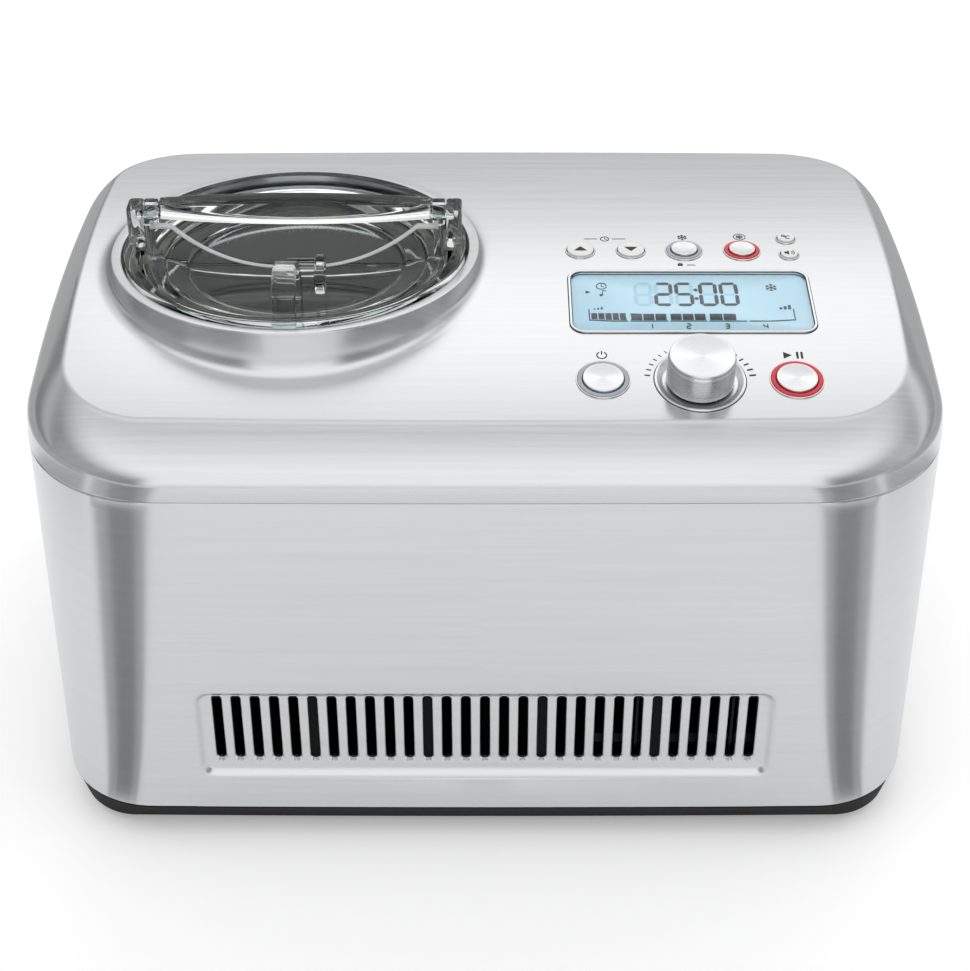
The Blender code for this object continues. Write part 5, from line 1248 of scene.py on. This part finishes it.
def bar_shape():
    """A bar tallest in its middle: with arch = 1 - share^2 it grows 4.1 down and 2.4 up, and
    its front moves 3 back."""
    shares = np.sin(np.linspace(-math.pi / 2, math.pi / 2, 81))
    rows = []
    for share in shares:
        arch = 1 - share * share
        low, high, half_w = 13.2 - 4.1 * arch, 19.6 + 2.4 * arch, (12.0 - 3.0 * arch) / 2
        section = rounded_rectangle(half_w, (high - low) / 2, 1.9, 7)
        rows.append(np.column_stack([np.full(len(section), share * BAR_HALF),
                                     section[:, 0] + BAR_REAR - half_w, section[:, 1] + (low + high) / 2]))
    rows = np.stack(rows)
    return capped(rows)


pins = [rod_x(3.0, *sorted((side * 61.0, side * 71.9))) for side in (-1, 1)]
piece("lid_grip_bar", placed(joined([bar_shape(), *pins]), MOUTH), CLEAR, "lid",
      ("lid_handle",), 40)


def strap(path, half_x, half_t, corner):
    """A moulded strap along a path in the Y-Z plane, with a rounded flat section."""
    path = np.asarray(path, float)
    ahead = np.gradient(path, axis=0)
    ahead /= np.linalg.norm(ahead, axis=1)[:, None]
    normal = np.stack([-ahead[:, 1], ahead[:, 0]], -1)
    section = rounded_rectangle(half_x, half_t, corner, 5)
    rows = np.empty((len(path), len(section), 3))
    rows[..., 0] = section[:, 0]
    rows[..., 1:] = path[:, None] + normal[:, None] * section[None, :, 1:]
    return capped(rows)


def web_shape(bead=False):
    """A thin curved wall on the hatch that rises to its hinge arms. With f = |x / 55.5|^2.4, at
    most 1, its middle runs along y = -12 + 9.5 f and its top along z = -4 + 15.5 f. The bead
    is a thin cap on that top."""
    x = np.linspace(-65.0, 65.0, 131)
    f = np.minimum(np.abs(x / 55.5) ** 2.4, 1.0)
    y, top, half = -12 + 9.5 * f, -4 + 15.5 * f, 0.8 + 0.9 * f
    foot = plate_height(np.hypot(x, y)) - 1.2
    if bead:
        foot, top, half = top - 0.5, top + 0.4 + 0.5 * f, half + 0.1
    edge = np.minimum(0.6, half * 0.6)
    across = [-half, -half, -half + edge, half - edge, half, half]
    levels = [foot, top - edge, top, top, top - edge, foot]
    rows = np.stack([np.stack([x, y + a, z], -1) for a, z in zip(across, levels)], axis=1)
    return capped(rows)


t = np.linspace(0, math.pi, 65)
loop_path = np.column_stack([-49.5 - 16 * np.cos(t), -6.6 + 2.6 * np.cos(t) + 21.4 * np.sin(t) ** 0.6])
barrels, arms = [], []
for side in (-1, 1):
    x0, x1 = sorted((side * 62.3, side * 67.9))
    barrel = eased([(3.3, x0), (6.0, x0), (6.0, x1), (3.3, x1)], 0.6, 4, closed=True)
    barrels.append(along_x(barrel))
    arms.append(soft_block(x0 + 0.7, x1 - 0.7, -7.0, 0.3, -5.0, 15.0, 1.6))
latch_ring = eased([(4.4, 11.6), (8.8, 11.6), (8.8, 15.8), (4.4, 15.8)], 1.0, 4, closed=True)
latch = [rod_x(3.0, -1.0, 12.4, (-36.0, 9.0), 0.8), along_x(latch_ring, 56, (-36.0, 4.5))]
hatch_shape = joined([hatch_plate(), web_shape(), strap(loop_path, 5.2, 1.7, 1.2), *barrels, *arms, *latch])
piece("clear_hatch", placed(hatch_shape, MOUTH), CLEAR, "hatch", ("lid_hatch",), 30)
# A thin bead on the web's top in the lighter milky plastic: a painted highlight.
piece("hatch_highlight_bead", placed(web_shape(True), MOUTH), PAINTED_GLINT, "hatch", (), 30)

# %% [markdown]
# ## Bowl, bail, chamber and paddle
#
# These are seen through the lid, so they get round edges and many sides. The bail is a wire
# half-circle lying on the bowl's inner wall, with a short pin at each end. The paddle is a hub
# with two open blades, moulded in one; the blades' edges are rounded so they catch the light.

# %% Bowl, bail and chamber
BOWL_SPOT = (np.eye(3), np.array([BOWL_X, 0.0, 0.0]))
BOWL_R, BOWL_RIM_R, BOWL_WALL = 70.5, 74.0, 1.5
CHIMNEY, CHIMNEY_HEIGHT = 9.5, 26.0
low, high, bore = bowl_low[2], bowl_high[2], BOWL_R - BOWL_WALL
bowl_profile = eased([
    (CHIMNEY - BOWL_WALL, low), (BOWL_R - 3, low), (BOWL_R, low + 4), (BOWL_R, high - BOWL_WALL),
    (BOWL_RIM_R, high - BOWL_WALL), (BOWL_RIM_R, high), (bore, high), (bore, low + 5.4),
    (bore - 3.5, low + BOWL_WALL), (CHIMNEY, low + BOWL_WALL), (CHIMNEY, low + CHIMNEY_HEIGHT),
    (CHIMNEY - BOWL_WALL, low + CHIMNEY_HEIGHT)], 2.2, 7, closed=True)
# The bowl's near-black colour is partly its anodising and partly painted shade in its hollow.
piece("bowl", placed(skin(turned(bowl_profile, 160), closed=True), BOWL_SPOT), ANODISED_WITH_PAINTED_SHADE, "bowl",
      ("ice_cream_bowl",), 50)

bail_low, bail_high = node_box("bowl_handle")
WIRE = (bail_high[2] - bail_low[2]) / 2
bail_reach = (bail_high[0] - bail_low[0]) / 2 - WIRE
t = np.linspace(0, math.pi, 97)
ring = circle(WIRE, 16)
outward = np.stack([np.cos(t), np.sin(t), np.zeros(97)], -1)
rows = outward[:, None] * (bail_reach + ring[None, :, :1]) + np.array([0, 0, 1.0]) * ring[None, :, 1:]
wire = capped(rows)
pin_ends = (bail_reach - 0.5, bore - 0.4)
pins = [rod_x(1.2, *sorted(side * end for end in pin_ends), (0, 0), 0.3) for side in (-1, 1)]
bail_spot = (np.eye(3), np.array([BOWL_X, 0.0, (bail_low[2] + bail_high[2]) / 2]))
piece("bail_wire", placed(joined([wire, *pins]), bail_spot), BRIGHT_STEEL, "bail", ("bowl_handle",))

base, top = chamber_low[2], chamber_high[2]
inner, outer = 71.1, 72.6
chamber_profile = eased([
    (9.0, base), (outer, base), (outer, top - 1.5), (outer + 6, top - 1.5), (outer + 6, top),
    (inner, top), (inner, base + 1.5), (9.0, base + 1.5)], 0.6, 5, closed=True)
# The chamber shares the anodised finish darkened as painted shade.
piece("chamber", placed(skin(turned(chamber_profile, 128), closed=True), BOWL_SPOT), ANODISED_WITH_PAINTED_SHADE, "cabinet",
      ("freezing_chamber",), 50)

# %% Paddle
PADDLE_TURN, PADDLE_REACH, BLADE = math.radians(35), 66.0, 4.0
HUB, HUB_BORE, SOCKET = 14.0, 10.3, 5.5


def shrunk(outline, amount):
    """A closed outline moved inwards by the amount, square to its own run."""
    ahead = np.roll(outline, -1, 0) - np.roll(outline, 1, 0)
    ahead /= np.linalg.norm(ahead, axis=1)[:, None]
    return outline + np.stack([-ahead[:, 1], ahead[:, 0]], -1) * amount


def blade_shape(side):
    """An open blade: its outline and its window drawn in X and Z, thickened along Y, with the
    edges rounded over a millimetre."""
    reach, tall = PADDLE_REACH, 78.0
    outline = eased([(HUB - 6, 3), (reach, 3), (reach, tall - 6), (reach - 14, tall - 6), (40, 56), (22, 50),
                     (HUB - 6, 50)], 7.0, 9, closed=True)
    window = eased([(HUB + 8, 11), (reach - 8, 11), (reach - 8, tall - 17), (46, 44), (24, 38),
                    (HUB + 8, 30)], 6.0, 9, closed=True)
    depth = [(1.0, -BLADE / 2), (0.3, -BLADE / 2 + 0.25), (0.0, -BLADE / 2 + 0.9), (0.0, BLADE / 2 - 0.9),
             (0.3, BLADE / 2 - 0.25), (1.0, BLADE / 2)]

    def upright(flat, y):
        return np.column_stack([side * flat[:, 0], np.full(len(flat), y), flat[:, 1]])

    parts = [skin(np.stack([upright(shrunk(outline, inset), y) for inset, y in depth])),
             skin(np.stack([upright(shrunk(window, -inset), y) for inset, y in depth]))]
    for y in (-BLADE / 2, BLADE / 2):
        flat, triangles = filled(shrunk(outline, 1.0), [shrunk(window, -1.0)], 7.0)
        parts.append((upright(flat, y), triangles))
    return joined(parts)


ledge, socket_top = CHIMNEY_HEIGHT + 1.2, CHIMNEY_HEIGHT + 16.0
hub_profile = eased([
    (0, socket_top), (SOCKET, socket_top), (SOCKET, ledge), (HUB_BORE, ledge), (HUB_BORE, 3.0),
    (HUB, 3.0), (HUB, 46), (10, 56), (4, 60), (0, 60)], 2.0, 7)
c, s = math.cos(PADDLE_TURN), math.sin(PADDLE_TURN)
paddle_spot = (np.array([[c, -s, 0], [s, c, 0], [0, 0, 1]]), np.array([BOWL_X, 0, bowl_low[2] + BOWL_WALL]))
paddle_shape = joined([skin(turned(hub_profile, 96)), blade_shape(1), blade_shape(-1)])
piece("paddle_moulding", placed(paddle_shape, paddle_spot), PADDLE_PLASTIC, "paddle",
      ("paddle",))

# %% [markdown]
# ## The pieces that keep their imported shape
#
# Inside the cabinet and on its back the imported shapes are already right, so they only change
# their finish.

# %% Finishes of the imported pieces
FINISHES = {
    "rear_vent_panel": BLACK_ABS, "power_inlet": BLACK_ABS, "intake_screen": BLACK_ABS,
    "gearbox_housing": BLACK_ABS, "gearbox_plate": BLACK_ABS, "fan_shroud": BLACK_ABS, "fan": BLACK_ABS,
    "condenser_fan": BLACK_ABS, "evaporator_coil": COPPER, "suction_line": COPPER, "discharge_line": COPPER,
    "filter_drier": COPPER, "insulation_jacket": FOAM, "spindle_bush": BRONZE, "output_gear": NYLON,
    "intermediate_gear": NYLON, "motor_pinion": BRIGHT_STEEL, "intermediate_axle": BRIGHT_STEEL,
    "drive_spindle": BRIGHT_STEEL, "drive_motor": BRIGHT_STEEL, "fan_motor": BRIGHT_STEEL,
    # The condenser's darkened anodised finish is painted shade behind the grille's slots.
    "dial_encoder": BRIGHT_STEEL, "compressor": ENAMEL, "condenser": ANODISED_WITH_PAINTED_SHADE, "display_board": BOARD,
    "power_board": BOARD,
}
for name, node in frame["nodes"].items():
    if node.hide_render or name not in FINISHES:
        continue
    for slot in node.material_slots:
        slot.material = FINISHES[name]
kept = [name for name, node in frame["nodes"].items() if not node.hide_render]
print("kept", len(kept), "without a finish", [name for name in kept if name not in FINISHES])

# %% [markdown]
# ## The studio
#
# The machine stands on a large pale floor under a soft sky that changes only from the back over
# the top to the front, like a row of long light panels. The steel smears those panels across
# its grain. The sky is darker to the sides, and grey cloths lie on the floor off the front
# corners and beside the machine. Only reflections see the cloths, and they draw the dark
# upright bands that give the corners their shape.

# %% Sky and floor
SKY = ((0, 0.62), (13, 0.72), (22, 0.85), (27, 0.95), (34, 1.5), (38, 1.75), (56, 1.75), (60, 0.75),
       (71, 0.66), (80, 1.2), (92, 1.33), (150, 1.33), (165, 1.08), (180, 1.0))
SKY_FULL = 2.0
SIDES = ((-180, 1.0), (-166, 1.0), (-158, 0.45), (-120, 0.4), (-60, 0.4), (-28, 0.25), (-21, 1.0),
         (21, 1.0), (28, 0.22), (50, 0.36), (90, 0.58), (140, 0.62), (166, 1.0), (180, 1.0))


def ramp_of(tree, share, stops):
    """A colour ramp through (position, grey) stops."""
    made = add(tree, "ShaderNodeValToRGB", {"Fac": share})
    elements = made.color_ramp.elements
    while len(elements) < len(stops):
        elements.new(0.5)
    for element, (position, grey) in zip(elements, stops):
        element.position = position
        element.color = (grey, grey, grey, 1.0)
    return made.outputs["Color"]


def sky():
    """Brightness by the angle about X (0 degrees is the horizon behind, 90 is overhead), times
    a share by the compass angle from the front, which fades out overhead."""
    world = bpy.data.worlds.new("long_panel_sky")
    bpy.context.scene.world = world
    world.use_nodes = True
    tree = world.node_tree
    place = add(tree, "ShaderNodeTexCoord")
    way = add(tree, "ShaderNodeSeparateXYZ", {"Vector": place.outputs["Generated"]})
    x, y, z = (way.outputs[key] for key in "XYZ")
    arc = add(tree, "ShaderNodeMath", {0: z, 1: y}, operation="ARCTAN2")
    over = add(tree, "ShaderNodeMapRange", {"Value": arc.outputs[0], "From Max": math.pi})
    panels = ramp_of(tree, over.outputs["Result"], [(a / 180, level / SKY_FULL) for a, level in SKY])
    front = add(tree, "ShaderNodeMath", {0: y, 1: -1.0}, operation="MULTIPLY")
    compass = add(tree, "ShaderNodeMath", {0: x, 1: front.outputs[0]}, operation="ARCTAN2")
    turn = add(tree, "ShaderNodeMapRange",
               {"Value": compass.outputs[0], "From Min": -math.pi, "From Max": math.pi})
    sides = ramp_of(tree, turn.outputs["Result"], [(0.5 + a / 360, level) for a, level in SIDES])
    high = add(tree, "ShaderNodeMapRange", {"Value": z, "From Min": 0.6, "From Max": 0.88})
    share = add(tree, "ShaderNodeMix", {"Factor": high.outputs["Result"]}, data_type="RGBA")
    tree.links.new(sides, share.inputs[6])
    share.inputs[7].default_value = (1.0, 1.0, 1.0, 1.0)
    both = add(tree, "ShaderNodeMix", {"Factor": 1.0}, data_type="RGBA", blend_type="MULTIPLY")
    tree.links.new(panels, both.inputs[6])
    tree.links.new(share.outputs[2], both.inputs[7])
    background = tree.nodes["Background"]
    background.inputs["Strength"].default_value = SKY_FULL
    tree.links.new(both.outputs[2], background.inputs["Color"])


def stage_piece(name, corners, finish):
    """A flat polygon of the studio, its corners in metres."""
    mesh = bpy.data.meshes.new(name)
    mesh.from_pydata(corners, [], [list(range(len(corners)))])
    mesh.materials.append(finish)
    made = bpy.data.objects.new(name, mesh)
    bpy.context.scene.collection.objects.link(made)
    return made


sky()
paper = grained("seamless_paper", "F4F4F4", "FAFAFA", 0.9, 4.0, 0.01)
paper_shader = paper.node_tree.nodes["Principled BSDF"]
paper_shader.inputs["Emission Color"].default_value = colour("FFFFFF")
paper_shader.inputs["Emission Strength"].default_value = 0.22
FLOOR_HALF = 6.0
FLOOR_CORNERS = ((-1, -1), (1, -1), (1, 1), (-1, 1))
stage_piece("floor", [(FLOOR_HALF * x, FLOOR_HALF * y, 0) for x, y in FLOOR_CORNERS], paper)

# %% Flags
FLAG_LIFT, FLAG_STEP = 0.004, 0.001
dark_cloth, _, _ = finish("dark_flag_cloth", "9A9A9A", 0.0, 0.9)
grey_cloth, _, _ = finish("grey_flag_cloth", "C2C2C2", 0.0, 0.9)


def flag(name, centre, near, far, start, end, cloth):
    """A ring sector on the floor, by compass angles from the front, that only gloss sees."""
    angles = np.radians(np.linspace(start, end, 13))
    way = np.stack([np.sin(angles), -np.cos(angles)], -1)
    flat = np.vstack([centre + way * near, centre + way[::-1] * far])
    lift = FLAG_LIFT + FLAG_STEP * (cloth is dark_cloth)
    made = stage_piece(name, [(x, y, lift) for x, y in flat.tolist()], cloth)
    made.visible_camera = made.visible_diffuse = made.visible_shadow = made.visible_transmission = False


for side, word in ((1, "right"), (-1, "left")):
    corner = np.array([side * 0.165, -0.125])
    flag(f"flag_{word}_corner_wide", corner, 0.03, 0.9, side * 12, side * 60, grey_cloth)
    flag(f"flag_{word}_corner", corner, 0.03, 0.9, side * 22, side * 46, dark_cloth)
    flag(f"flag_{word}_side", np.zeros(2), 0.55, 4.0, side * 62, side * 163, grey_cloth)

# %% Camera
CAMERA_LENS, CAMERA_DOWN = 75.28, 35.64
camera_data = bpy.data.cameras.new("camera")
camera_data.lens = CAMERA_LENS
camera_data.sensor_width = 36.0
camera_data.sensor_fit = "HORIZONTAL"
camera = bpy.data.objects.new("camera", camera_data)
bpy.context.scene.collection.objects.link(camera)
camera.location = (0.0, -0.8132, 0.6824)
camera.rotation_euler = (math.radians(90 - CAMERA_DOWN), 0.0, 0.0)
bpy.context.scene.camera = camera
bpy.context.scene.view_settings.view_transform = "Standard"
